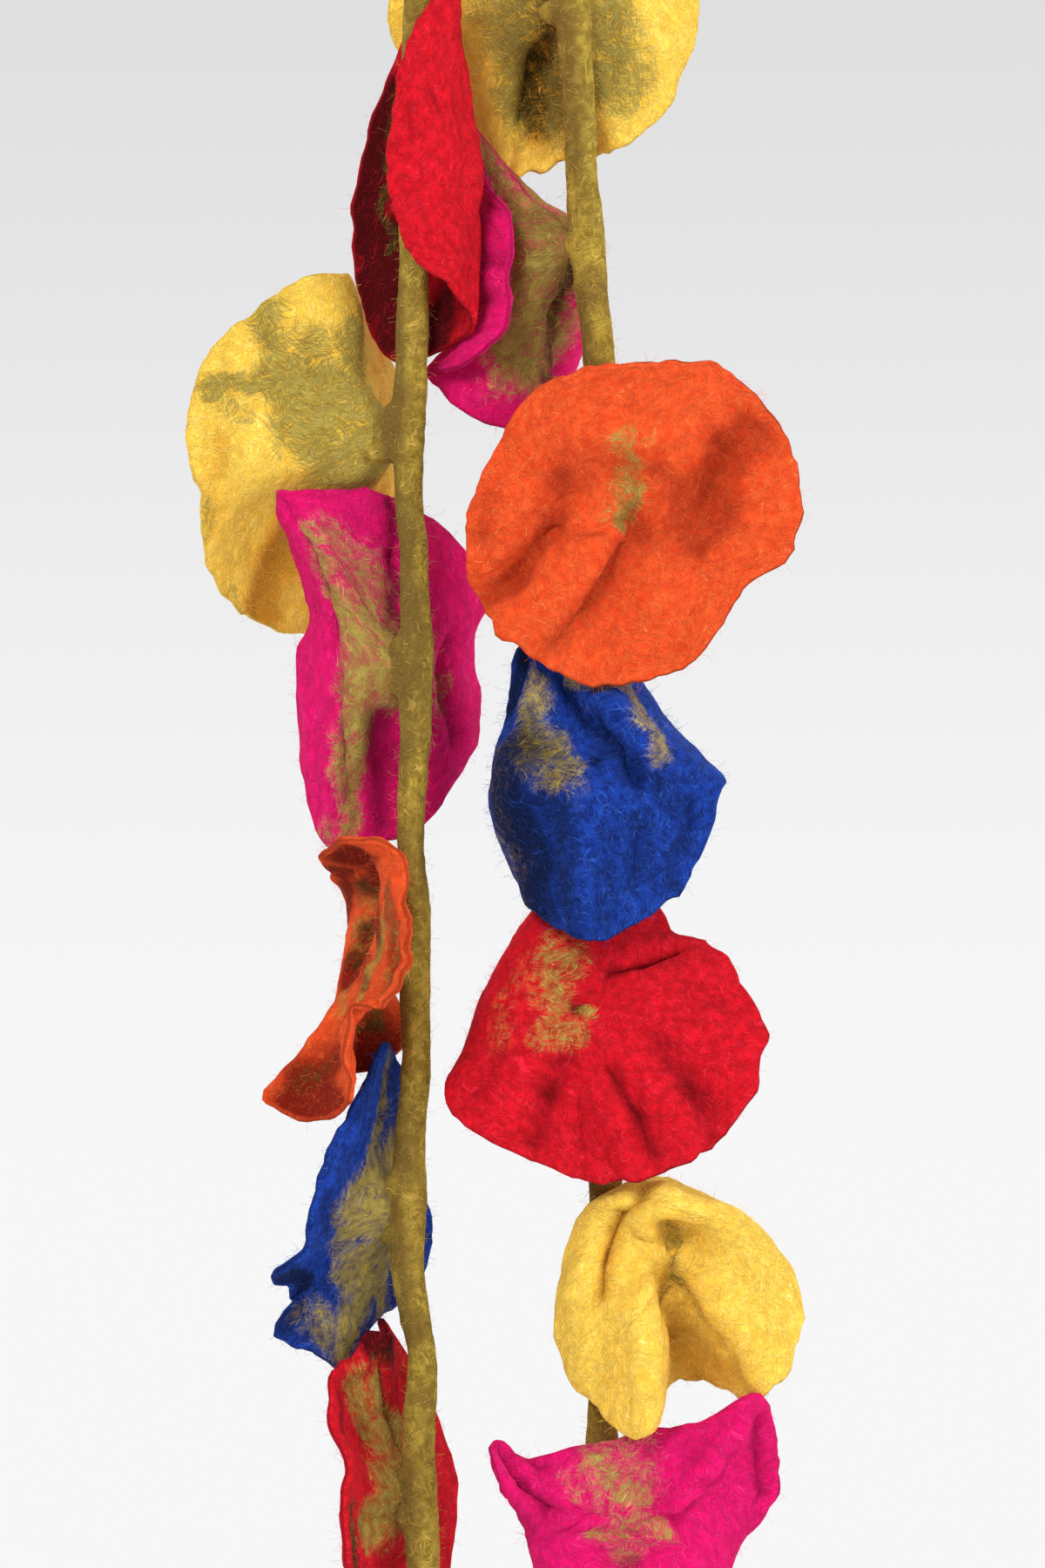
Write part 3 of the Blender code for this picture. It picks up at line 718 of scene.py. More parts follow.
            Streak([(690, 100), (700, 115)], 5.0, 0.7),
        ),
        darks=(
            Streak([(625, -10), (618, 69), (622, 150)], 7.0, 1.0),
            Streak([(640, 60), (636, 140)], 5.0, 0.6),
            Streak([(603, 150), (592, 180)], 3.0, 0.5),
            Streak([(590, 0), (585, 60)], 5.0, 0.45),
            Streak([(700, 20), (705, 90)], 6.0, 0.35),
        ),
        edges=(
            Edge([(589, 192)], 4.0, 1.0),
            Edge([(610, 185)], 5.0, -2.5),
            Edge([(640, 180)], 5.0, -2.0),
        ),
    ),
    "flower_right_2_pink": Look(
        folds=(
            Fold([(658, 302), (647, 357), (647, 428)], 4.5, -4.0),
            Fold([(590, 250), (588, 330), (578, 398)], 3.0, -1.6),
            Fold([(600, 260), (625, 330)], 7.0, 1.4),
            Fold([(548, 219), (570, 239)], 3.0, 1.0),
        ),
        greens=(
            Streak([(600, 210), (620, 229), (640, 241)], 5.0, 0.9),
            Streak([(561, 166), (577, 188), (600, 212)], 4.0, 0.6),
            Streak([(560, 170), (585, 235)], 6.0, 0.8),
            Streak([(600, 250), (640, 270)], 9.0, 1.0),
            Streak([(610, 300), (610, 400)], 13.0, 1.0),
            Streak([(640, 330), (640, 400)], 9.0, 1.0),
            Streak([(595, 420), (620, 440)], 7.0, 0.6),
        ),
        darks=(
            Streak([(658, 302), (647, 357), (635, 428)], 5.0, 1.0),
            Streak([(610, 265), (640, 300)], 9.0, 0.35),
            Streak([(600, 320), (600, 420)], 8.0, 0.3),
            Streak([(545, 250)], 3.0, 0.4),
            Streak([(585, 300), (583, 380)], 2.5, 0.5),
        ),
        edges=(),
    ),
    "flower_right_3_orange": Look(
        folds=(
            Fold([(622, 524), (707, 503), (761, 503), (804, 517)], 5.0, 1.6),
            Fold([(655, 545), (700, 532)], 6.0, -1.0),
            Fold([(640, 551), (635, 618), (595, 663), (560, 693)], 5.5, -3.0),
            Fold([(681, 604), (627, 658), (568, 711)], 5.5, 2.2),
            Fold([(724, 618), (686, 690), (632, 738)], 4.8, -3.0),
            Fold([(748, 698), (707, 765)], 8.0, 1.4),
            Fold([(753, 540), (782, 594), (801, 625)], 5.0, -2.0),
            Fold([(742, 612), (800, 630)], 4.0, -1.4),
            Fold([(868, 492), (833, 524), (817, 561), (823, 588)], 6.0, -4.2),
            Fold([(836, 490), (803, 548)], 4.5, 1.8),
            Fold([(555, 577), (552, 618)], 4.0, -1.6),
            Fold([(718, 598)], 4.0, -1.6),
            Fold([(724, 510), (720, 585)], 3.0, -0.8),
        ),
        greens=(
            Streak([(723, 508), (724, 560)], 3.2, 0.5),
            Streak([(724, 560), (716, 602)], 3.6, 0.7),
            Streak([(690, 602), (714, 596)], 3.0, 0.4),
            Streak([(741, 505)], 3.0, 0.35),
        ),
        darks=(
            Streak([(722, 585), (715, 606)], 2.6, 0.47),
            Streak([(740, 560), (760, 600)], 3.0, 0.23),
            Streak([(640, 560), (600, 650)], 6.0, 0.2),
        ),
        edges=(
            Edge([(571, 735)], 3.0, 2.0),
            Edge([(860, 671)], 5.0, -2.5),
            Edge([(893, 640)], 4.0, 1.5),
            Edge([(833, 700)], 5.0, -1.0),
            Edge([(640, 430)], 6.0, -1.5),
            Edge([(700, 408)], 14.0, -4.0),
            Edge([(790, 415)], 10.0, -3.0),
            Edge([(850, 450)], 7.0, -3.0),
        ),
    ),
    "flower_right_4_blue": Look(
        folds=(
            Fold([(649, 785), (685, 823), (739, 894)], 3.4, -5.0),
            Fold([(660, 780), (705, 816), (752, 876)], 4.2, 3.6),
            Fold([(676, 874)], 3.2, -3.0),
            Fold([(658, 914), (656, 985), (669, 1070)], 4.2, 2.8),
            Fold([(625, 930), (630, 1040)], 6.0, -1.8),
            Fold([(734, 952), (732, 1003)], 4.0, -1.8),
            Fold([(794, 914), (799, 952), (761, 1015)], 3.0, -1.4),
            Fold([(705, 1037), (716, 1070)], 3.0, -1.2),
            Fold([(600, 760), (585, 815)], 3.5, -2.2),
            Fold([(610, 800), (640, 890)], 6.0, 1.5),
            Fold([(745, 960), (770, 990)], 4.0, 1.0),
        ),
        greens=(
            Streak([(618, 785), (612, 829), (622, 865), (640, 896)], 5.5, 0.75),
            Streak([(590, 850), (600, 1030)], 6.0, 0.3),
            Streak([(658, 776), (721, 791)], 3.2, 0.7),
            Streak([(721, 791), (734, 825), (761, 865)], 3.8, 0.7),
        ),
        darks=(
            Streak([(588, 860), (597, 960), (615, 1050)], 9.0, 0.9),
            Streak([(612, 829), (635, 890)], 5.0, 0.5),
            Streak([(700, 960), (690, 1060)], 5.0, 0.35),
            Streak([(760, 900), (790, 930)], 5.0, 0.4),
            Streak([(640, 925), (655, 1060)], 4.0, 0.6),
            Streak([(600, 751), (582, 814)], 4.0, 1.0),
            Streak([(652, 790), (735, 890)], 3.0, 0.6),
            Streak([(739, 952), (734, 1003)], 5.0, 0.45),
            Streak([(800, 920), (765, 1015)], 3.5, 0.45),
            Streak([(676, 874)], 3.0, 0.8),
        ),
        edges=(
            Edge([(823, 883)], 5.0, 5.0),
            Edge([(775, 853)], 6.0, -3.0),
            Edge([(778, 1010)], 4.0, 1.0),
            Edge([(640, 1068)], 4.0, -1.0),
            Edge([(573, 890)], 10.0, -2.8),
        ),
    ),
    "flower_right_5_red": Look(
        folds=(
            Fold([(675, 1159)], 2.0, 1.4),
            Fold([(661, 1153)], 2.2, -1.6),
            Fold([(648, 1214), (634, 1253), (610, 1307)], 3.6, -2.0),
            Fold([(663, 1262), (665, 1307)], 3.2, -1.4),
            Fold([(655, 1250), (645, 1300), (648, 1330)], 3.2, 1.2),
            Fold([(699, 1229), (728, 1277), (745, 1316)], 3.6, -2.4),
            Fold([(677, 1234), (704, 1282), (721, 1338)], 4.2, 2.0),
            Fold([(745, 1239), (777, 1294), (787, 1319)], 4.6, 1.6),
            Fold([(762, 1195), (799, 1253), (811, 1294)], 4.2, -2.0),
            Fold([(581, 1210), (549, 1253)], 4.0, -1.4),
            Fold([(593, 1229), (564, 1294)], 4.0, 1.2),
            Fold([(777, 1088), (738, 1103), (695, 1120)], 2.6, -3.0),
            Fold([(770, 1075), (720, 1085)], 4.0, 1.2),
            Fold([(800, 1140), (840, 1160)], 5.0, -0.8),
            Fold([(690, 1190), (720, 1215)], 5.0, 0.8),
        ),
        greens=(
            Streak([(632, 1098), (636, 1142), (639, 1174)], 5.2, 0.6),
            Streak([(668, 1156)], 3.0, 0.75),
            Streak([(663, 1187)], 3.0, 0.55),
            Streak([(617, 1187)], 3.4, 0.4),
            Streak([(634, 1076)], 4.5, 0.35),
            Streak([(600, 1105), (568, 1185)], 4.5, 0.2),
        ),
        darks=(
            Streak([(661, 1152)], 2.4, 0.75),
            Streak([(642, 1110)], 3.5, 0.3),
            Streak([(699, 1229), (745, 1316)], 2.6, 0.3),
            Streak([(762, 1195), (805, 1270)], 3.0, 0.3),
            Streak([(648, 1214), (625, 1280)], 3.0, 0.3),
        ),
        edges=(
            Edge([(782, 1065)], 6.0, -3.5),
            Edge([(795, 1085)], 4.0, -2.0),
            Edge([(828, 1103)], 4.0, 1.5),
            Edge([(871, 1185)], 4.0, 1.5),
            Edge([(857, 1248)], 3.0, 1.2),
            Edge([(789, 1323)], 4.0, 1.0),
            Edge([(731, 1345)], 4.0, 1.5),
            Edge([(700, 1075)], 5.0, -1.0),
        ),
    ),
    "flower_right_6_yellow": Look(
        folds=(
            Fold([(736, 1371), (712, 1397), (700, 1438), (693, 1475)], 4.2, -5.5),
            Fold([(769, 1412), (768, 1475)], 4.0, -3.0),
            Fold([(790, 1440), (830, 1500), (875, 1580)], 5.5, 3.0),
            Fold([(745, 1420), (735, 1500), (748, 1620)], 5.5, 3.0),
            Fold([(775, 1490), (790, 1540), (800, 1565)], 7.0, -4.0),
            Fold([(680, 1400), (660, 1480), (668, 1560)], 6.0, 1.4),
            Fold([(850, 1430), (890, 1500)], 7.0, 1.2),
            Fold([(700, 1560), (690, 1600)], 5.0, -1.0),
            Fold([(720, 1378), (760, 1366), (800, 1385)], 3.0, 1.6),
        ),
        greens=(
            Streak([(771, 1414), (769, 1472)], 2.8, 0.5),
            # Painted green-brown shade along the right wall of the cleft.
            Streak([(778, 1428), (785, 1468), (806, 1506)], 4.0, 0.42),
        ),
        darks=(
            Streak([(770, 1420), (766, 1470)], 2.0, 0.4),
            Streak([(728, 1380), (705, 1410), (692, 1465)], 3.6, 0.8),
            Streak([(800, 1590), (850, 1570)], 5.0, 0.6),
            Streak([(790, 1500), (800, 1560)], 6.0, 0.35),
        ),
        edges=(
            Edge([(869, 1420)], 5.0, 1.5),
            Edge([(918, 1500)], 5.0, 1.0),
            Edge([(882, 1600)], 6.0, -2.0),
            Edge([(650, 1545)], 4.0, -1.0),
            Edge([(750, 1650)], 7.0, -3.0),
        ),
    ),
    "flower_right_7_pink": Look(
        folds=(
            Fold([(675, 1751), (729, 1743), (773, 1727), (818, 1689), (847, 1642), (860, 1610)], 2.4, 2.4),
            Fold([(581, 1669), (606, 1705), (633, 1734)], 3.6, -5.0),
            Fold([(601, 1658), (626, 1696), (655, 1745)], 3.2, 2.6),
            Fold([(871, 1631), (876, 1714)], 3.2, -2.6),
            Fold([(713, 1781), (724, 1800)], 3.2, -2.0),
            Fold([(690, 1700), (740, 1690)], 7.0, 1.2),
            Fold([(790, 1660), (800, 1700)], 5.0, -1.2),
            Fold([(800, 1750), (780, 1790)], 6.0, 1.2),
        ),
        greens=(
            Streak([(646, 1654), (675, 1676), (695, 1696), (729, 1725)], 4.2, 0.7),
            Streak([(751, 1625), (773, 1669)], 6.0, 0.5),
            Streak([(700, 1655), (720, 1700)], 9.0, 0.42),
            Streak([(657, 1709)], 4.0, 0.35),
            Streak([(684, 1759), (746, 1752)], 3.8, 0.6),
            Streak([(715, 1776)], 3.2, 0.55),
            Streak([(746, 1772)], 3.0, 0.4),
        ),
        darks=(
            Streak([(585, 1672), (606, 1705), (633, 1734)], 2.6, 0.85),
            Streak([(871, 1631), (876, 1714)], 3.0, 0.5),
            Streak([(713, 1781), (724, 1800)], 2.4, 0.5),
        ),
        edges=(
            Edge([(862, 1718)], 4.0, -2.0),
            Edge([(883, 1721)], 3.0, 1.0),
        ),
    ),
}

# Where a flower shows none of its green wool, some lies round its middle.
BACK_GREEN = Streak([(0, 0)], 13.0, 0.9)
OPEN_GREEN = Streak([(0, 0)], 6.0, 0.8)

# A mark on the flat disc before folding, in millimetres from its middle with the first spoke along
# +x: it runs from start to end on one face. A pixel's place on the felt is searched among this many
# turns and reaches, and counts as hit when it is this near in millimetres.
Line = namedtuple("Line", "start end width amount open_face")
SEARCH_TURNS = 360
SEARCH_REACHES = 160
SEARCH_NEAR = 1.2

# Even dents and lumps of hand-made felt: how high they are and how far across.
WRINKLES = (Size(0.7, 17.0), Size(0.4, 7.5), Size(0.16, 3.4))
STEM_LUMPS = (Size(0.5, 9.0), Size(0.28, 4.0), Size(0.12, 1.8))

FLOWER_STEPS = 132
FLOWER_RINGS = 38
EDGE_ANGLES = (40.0, 90.0, 140.0)
RAGGED_EDGE = 1.1
RAGGED_SIZE = 6.0
EDGE_REACH = 6
EDGE_STEP = 0.012
FAR_SIDE = 60.0
# Painted shade in the hollows of the felt: how deep a hollow is to be fully shaded, and how far that turns
# its colour to the deep colour.
HOLLOW_SHADE_DEPTH = 2.8
HOLLOW_SHADE_SHARE = 0.5
THICKNESS_UNEVEN = 0.2
THICKNESS_SIZE = 8.0
STREAK_DRIFT = 3.5
STREAK_DRIFT_SIZE = 9.0
STREAK_EDGE = (0.35, 1.45)
NECK_DRAWN_TO = 0.3
NECK_DRAWN_WIDTH = 11.0
NECK_DRAWN_REACH = (0.3, 0.5)
NECK_GREEN = (7.0, 16.0)

STEM_SIDES = 20
STEM_STEP = 4.0
STEM_GRAIN = 1.0
STEM_RUBS = 8
STEM_SWELL = 0.7
STEM_STRETCH = (1.0, 1.0, 0.45)
# Brown patches on the stem, browner on its left side and on the side turned away from the front.
BROWN_LEVEL = 0.25
BROWN_PATCHES = 1.1
BROWN_SIZE = 9.0
BROWN_LEFT = 0.35
BROWN_FRONT = 0.15
TIP_LENGTH = 0.55
TIP_WIDTH = 0.6
NECK_RINGS = 12
NECK_ROOT_RADIUS = 4.0
NECK_ROOT_FLARE = 0.8
NECK_WAIST_RADIUS = 3.0
NECK_SEAT_RADIUS = 1.6
NECK_SEAT_DEPTH = 2.6
NECK_STRAIGHT = 3.0
# Necks pulled into a web of felt: half its height on the stem. The others are plain.
WEBS = {
    "flower_left_2_yellow": 5.0,
    "flower_left_3_pink": 7.0,
    "flower_left_5_blue": 9.0,
    "flower_left_6_red": 8.0,
}
WEB_NARROWS = 0.5

# The single hairs lie in bundles in the felt: each bundle's turn in degrees on the flat disc.
HAIR_TURNS = (12.0, 63.0, 118.0, 160.0)
HAIR_STRETCH = (1.0, 0.055, 0.3)
HAIR_SCALE = 3000.0
STEM_HAIR_SCALE = 2000.0
HAIR_WANDER = 0.008
HAIR_WANDER_SCALE = 130.0
LIGHT_HAIRS = 0.6
LIGHT_STEP = (0.58, 0.72)
DARK_HAIRS = 0.5
DARK_STEP = (0.56, 0.7)
GAP_STEP = (0.42, 0.3)
CLOUD_SCALE = 330.0
TONE_STEP = (0.36, 0.64)
# How high the clouds and the hairs of the felt stand, as shares of its bump.
CLOUD_HEIGHT = 1.1
LIGHT_HEIGHT = 0.5
DARK_DEPTH = 0.3
FELT_BUMP = 0.8
FELT_BUMP_DEPTH = 0.0008
HAIR_LEAN = 2.6
HAIR_POINTS = 4
HAIR_BEND_SCALE = 190.0
SHEEN = 0.14
SHEEN_SPREAD = 0.35
# How the green wool breaks up into hairs and clouds, each a factor and a shift, and where it starts.
GREEN_HAIRS = (2.8, -1.4)
GREEN_CLOUDS = (1.2, -0.6)
GREEN_STARTS = 4.0
GREEN_STEP = (-0.05, 1.15)
# Light hairs lie over the dark wool and the painted shade: a factor and a shift.
SHOWING_THROUGH_HAIRS = (-0.3, 1.1)
# The loose hairs' share of green ones, their clouds of colour and the shortest of them.
LOOSE_GREEN_STEP = (0.3, 0.7)
LOOSE_CLOUD_SCALE = 300.0
LOOSE_TONE_STEP = (0.35, 0.65)
SHORTEST_HAIR = 0.45
HAIR_SIDES = 3
NOISE_MIDDLE = (0.5, 0.5, 0.5)

Wool = namedtuple("Wool", "deep dark middle light")
# A wool's deep colour, for its dark wool and for painted shade in folds and hollows, and its dark and
# its light hairs, as shares of its own colour.
Tint = namedtuple("Tint", "deep dark light")
TINTS = {
    "green": Tint((0.14, 0.11, 0.07), (0.54, 0.50, 0.42), (1.55, 1.55, 2.4)),
    "moss": Tint((0.14, 0.11, 0.07), (0.66, 0.60, 0.50), (1.45, 1.45, 2.0)),
    "red": Tint((0.09, 0.09, 0.09), (0.68, 0.46, 0.56), (1.25, 5.0, 3.2)),
    "yellow": Tint((0.66, 0.48, 0.28), (0.90, 0.82, 0.60), (1.06, 1.22, 2.2)),
    "pink": Tint((0.36, 0.30, 0.36), (0.78, 0.60, 0.70), (1.15, 10.0, 1.45)),
    "orange": Tint((0.24, 0.08, 0.13), (0.84, 0.60, 0.60), (1.10, 2.0, 2.6)),
    "blue": Tint((0.25, 0.16, 0.10), (0.45, 0.38, 0.42), (5.0, 2.6, 1.6)),
}
# The stem's deep colour: its brown wool, and the painted shade in its dents.
STEM_BROWN_AND_SHADE = (0.17, 0.10, 0.02, 1.0)

# The photograph's frame, in metres: its middle and its height, seen level from the front.
VIEW_MIDDLE = (0.00825, 0.0, -0.325)
VIEW_HEIGHT = 0.45
VIEW_DISTANCE = 2.0
VIEW_SENSOR = 36.0
FLOOR_HEIGHT = -1.5
FLOOR_SIZE = 8.0
BACKDROP_HIGH = (0.70, 0.70, 0.71, 1.0)
BACKDROP_LOW = (0.93, 0.93, 0.94, 1.0)
BACKDROP_STEP = (-0.06, 0.17)
ROOM_LIGHT = (1.0, 1.0, 1.0, 1.0)

# The studio's soft lights: their places in metres, sizes in metres and power in watts.
Lamp = namedtuple("Lamp", "name side near up size watts")
LAMPS = (
    Lamp("key light", -0.8, 2.0, 1.0, 0.9, 43.0),
    Lamp("fill light", 2.2, 0.9, -0.3, 1.4, 30.0),
    Lamp("back light", 0.6, -1.6, 0.9, 1.4, 16.0),
)

# How far apart the flowers' random seeds are, and what each use of a seed adds to it.
SEED_STEP = 7
EDGE_SEED = 20
THICKNESS_SEED = 30
DRIFT_SEEDS = (60, 61)
STEM_SEED = 90
BROWN_SEED = 97
SEED_SHIFT = (17.31, 7.77, 3.19)


def place(side, near, up):
    """A point of the tables, with its front towards -Y."""
    return np.array((side, -near, up), float)


def curve_between(before, start, end, after, part):
    """A smooth curve from start to end, which aims past its two outer points."""
    return 0.5 * (
        2.0 * start
        + (end - before) * part
        + (2.0 * before - 5.0 * start + 4.0 * end - after) * part**2
        + (3.0 * start - before - 3.0 * end + after) * part**3
    )


def closed_curve(points, turns):
    """Points of the smooth closed curve through the points, at these turns along it."""
    index = np.floor(turns).astype(int)
    part = (turns - index)[:, None]
    four = [points[(index + step) % len(points)] for step in (-1, 0, 1, 2)]
    return curve_between(*four, part)


def fade(value, low, high):
    """1 up to low and 0 from high, with a soft slope between."""
    part = np.clip((value - low) / (high - low), 0.0, 1.0)
    return 1.0 - part * part * (3.0 - 2.0 * part)


def unit(vectors):
    length = np.linalg.norm(vectors, axis=-1, keepdims=True)
    return vectors / np.maximum(length, 1e-9)


def lumps(points, size, seed, octaves=3):
    """Smooth uneven values, about -1 to 1, with lumps of this size in millimetres."""
    shift = Vector([seed * step for step in SEED_SHIFT])
    flat = points.reshape(-1, 3) / size
    values = [noise.fractal(Vector(point) + shift, 1.0, 2.0, octaves) for point in flat]
    return np.array(values).reshape(points.shape[:-1])


def uneven(points, sizes, seed):
    """Lumps and dents of all these sizes together."""
    return sum(size.height * lumps(points, size.across, seed + index) for index, size in enumerate(sizes))


def flower_frame(flower):
    """The flower's edge and half-way points and the way its open face looks."""
    rims = np.array([place(spoke.side, spoke.near, spoke.up) for spoke in flower.spokes])
    halves = np.array([place(spoke.half_side, spoke.half_near, spoke.half_up) for spoke in flower.spokes])
    facing = unit(np.cross(halves, np.roll(halves, -1, axis=0)).sum(axis=0))
    return rims, halves, facing


def felt_surface(flower, turns, reaches):
    """Points of the felt's middle layer, a row for each reach and a column for each turn."""
    rims, halves, facing = flower_frame(flower)
    rim = closed_curve(rims, turns)
    half = closed_curve(halves, turns)
    reach = reaches[:, None, None]
    point = half * (4.0 * reach * (1.0 - reach)) + rim * (2.0 * reach**2 - reach)
    lift = (point @ facing)[..., None]
    point = point - facing * lift * fade(reach, SEAT_REACH, SEAT_BLEND)
    return place(*flower.middle) + point


def open_normals(points, facing):
    """The way the open face looks at each point of the felt."""
    along = np.roll(points, -1, axis=1) - np.roll(points, 1, axis=1)
    outward = np.gradient(points, axis=0)
    normals = unit(np.cross(outward, along))
    normals[0] = facing
    return normals


def flat_places(flower, turns, reaches):
    """Where each point of the felt lay before it was folded: a flat round disc."""
    angle = 2.0 * pi * turns / len(flower.spokes)
    radius = FLAT_RADIUS * reaches[:, None]
    return np.stack([radius * np.cos(angle), radius * np.sin(angle)], axis=-1)


def distance_to_line(places, line):
    """How far each place of the flat disc is from the line's nearest point."""
    start = np.array(line.start, float)
    run = np.array(line.end, float) - start
    share = np.clip(((places - start) @ run) / max(run @ run, 1e-9), 0.0, 1.0)
    return np.linalg.norm(places - start - share[..., None] * run, axis=-1)


def shown_places(flower, pixels):
    """For each pixel, the place of the flat disc that shows there and whether it is on the open face."""
    turns = np.arange(SEARCH_TURNS) * len(flower.spokes) / SEARCH_TURNS
    reaches = np.linspace(0.0, 1.0, SEARCH_REACHES)
    points = felt_surface(flower, turns, reaches)
    places = flat_places(flower, turns, reaches)
    normals = open_normals(points, flower_frame(flower)[2])
    eye = place(VIEW_MIDDLE[0] / MM, VIEW_DISTANCE / MM, VIEW_MIDDLE[2] / MM)
    shown = {}
    for pixel in pixels:
        side, up = (pixel[0] - HOOK_PIXEL[0]) * PIXEL, (HOOK_PIXEL[1] - pixel[1]) * PIXEL
        way = place(side, 0.0, up) - eye
        sight = eye + way * ((points[..., 1] - eye[1]) / way[1])[..., None]
        away = np.hypot(points[..., 0] - sight[..., 0], points[..., 2] - sight[..., 2])
        near = away < SEARCH_NEAR
        depth = np.where(near, points[..., 1], np.inf) if near.any() else away
        index = np.unravel_index(depth.argmin(), depth.shape)
        shown[pixel] = (tuple(places[index].round()), bool(normals[index][1] < 0.0))
    return shown


def lines_of(marks, shown):
    """The marks as lines on the flat disc, from each pixel to the next."""
    lines = []
    for pixels, width, amount in marks:
        for pixel, following in zip(pixels, pixels[1:] or pixels):
            start, open_face = shown[pixel]
            lines.append(Line(start, shown[following][0], width, amount, open_face))
    return lines


def laid_look(flower):
    """The flower's look with all its marks as lines on its flat disc."""
    look = LOOKS[flower.name]
    marks = (*look.folds, *look.greens, *look.darks, *look.edges)
    shown = shown_places(flower, [pixel for mark in marks for pixel in mark.pixels])
    folds, greens, darks, edges = (lines_of(kind, shown) for kind in look[:4])
    for open_face, streak in ((False, BACK_GREEN), (True, OPEN_GREEN)):
        if all(line.open_face != open_face for line in greens):
            greens.append(flat_line(streak, open_face))
        darks += [flat_line(mark, open_face) for mark in look.flat_darks]
    edges += [flat_line(mark, True) for mark in look.flat_edges]
    return Look(folds, greens, darks, edges)


def flat_line(mark, open_face):
    """The line of a mark whose places are on the flat disc."""
    return Line(mark.pixels[0], mark.pixels[-1], mark[1], mark[2], open_face)


def felt_relief(folds, points, places, seed):
    """How far each point stands out towards the open face, from folds, dents and uneven felt."""
    height = uneven(points, WRINKLES, seed)
    for fold in folds:
        toward = fold.amount if fold.open_face else -fold.amount
        height = height + toward * np.exp(-((distance_to_line(places, fold) / fold.width) ** 2))
    return height


def streaks_share(streaks, points, places, seed, open_face):
    """How much of a mark lies in streaks on one face of the felt, from 0 to 1, with ragged edges: green wool,
    and dark wool with painted shade.
    """
    drift = np.stack([lumps(points, STREAK_DRIFT_SIZE, seed + step) for step in DRIFT_SEEDS], axis=-1)
    places = places + STREAK_DRIFT * drift
    share = np.zeros(places.shape[:-1])
    for streak in streaks:
        if streak.open_face == open_face:
            away = distance_to_line(places, streak) / streak.width
            share = np.maximum(share, streak.amount * fade(away, *STREAK_EDGE))
    return share


def edge_shift(edges, places, points, seed):
    """How far each point of the edge lies out from its plain outline."""
    shift = RAGGED_EDGE * lumps(points, RAGGED_SIZE, seed + EDGE_SEED)
    for edge in edges:
        away = distance_to_line(places, edge) / edge.width
        shift = shift + edge.amount * np.exp(-(away**2))
    return shift


def add_values(mesh, values, laid):
    """Adds the named values and the place in the flat felt, in metres, to the mesh's points."""
    for name, amounts in values.items():
        layer = mesh.attributes.new(name, "FLOAT", "POINT")
        layer.data.foreach_set("value", np.ascontiguousarray(amounts, dtype=np.float32))
    layer = mesh.attributes.new("laid", "FLOAT_VECTOR", "POINT")
    layer.data.foreach_set("vector", np.ascontiguousarray(laid * MM, dtype=np.float32).ravel())


def sheet_mesh(name, rings, hubs, values, laid):
    """A closed sheet: rings from one middle over the edge to the other, with named values."""
    count = rings.shape[1]
    places = np.concatenate([rings.reshape(-1, 3), hubs]) * MM
    first_hub, last_hub = len(places) - 2, len(places) - 1
    faces = []
    for ring in range(len(rings) - 1):
        for step in range(count):
            here, following = ring * count + step, ring * count + (step + 1) % count
            faces.append((here, here + count, following + count, following))
    last = (len(rings) - 1) * count
    for step in range(count):
        following = (step + 1) % count
        faces.append((first_hub, step, following))
        faces.append((last_hub, last + following, last + step))
    mesh = bpy.data.meshes.new(name)
    mesh.from_pydata(places.tolist(), [], faces)
    add_values(mesh, values, laid)
    mesh.shade_smooth()
    return mesh


def in_mesh_order(over, between, under):
    """The values of the front, the edge and the back in the order of the points of sheet_mesh."""
    size = over.shape[2:]
    front, back = over[1:].reshape(-1, *size), under[:0:-1].reshape(-1, *size)
    return np.concatenate([front, between, back, over[0, :1], under[0, :1]])


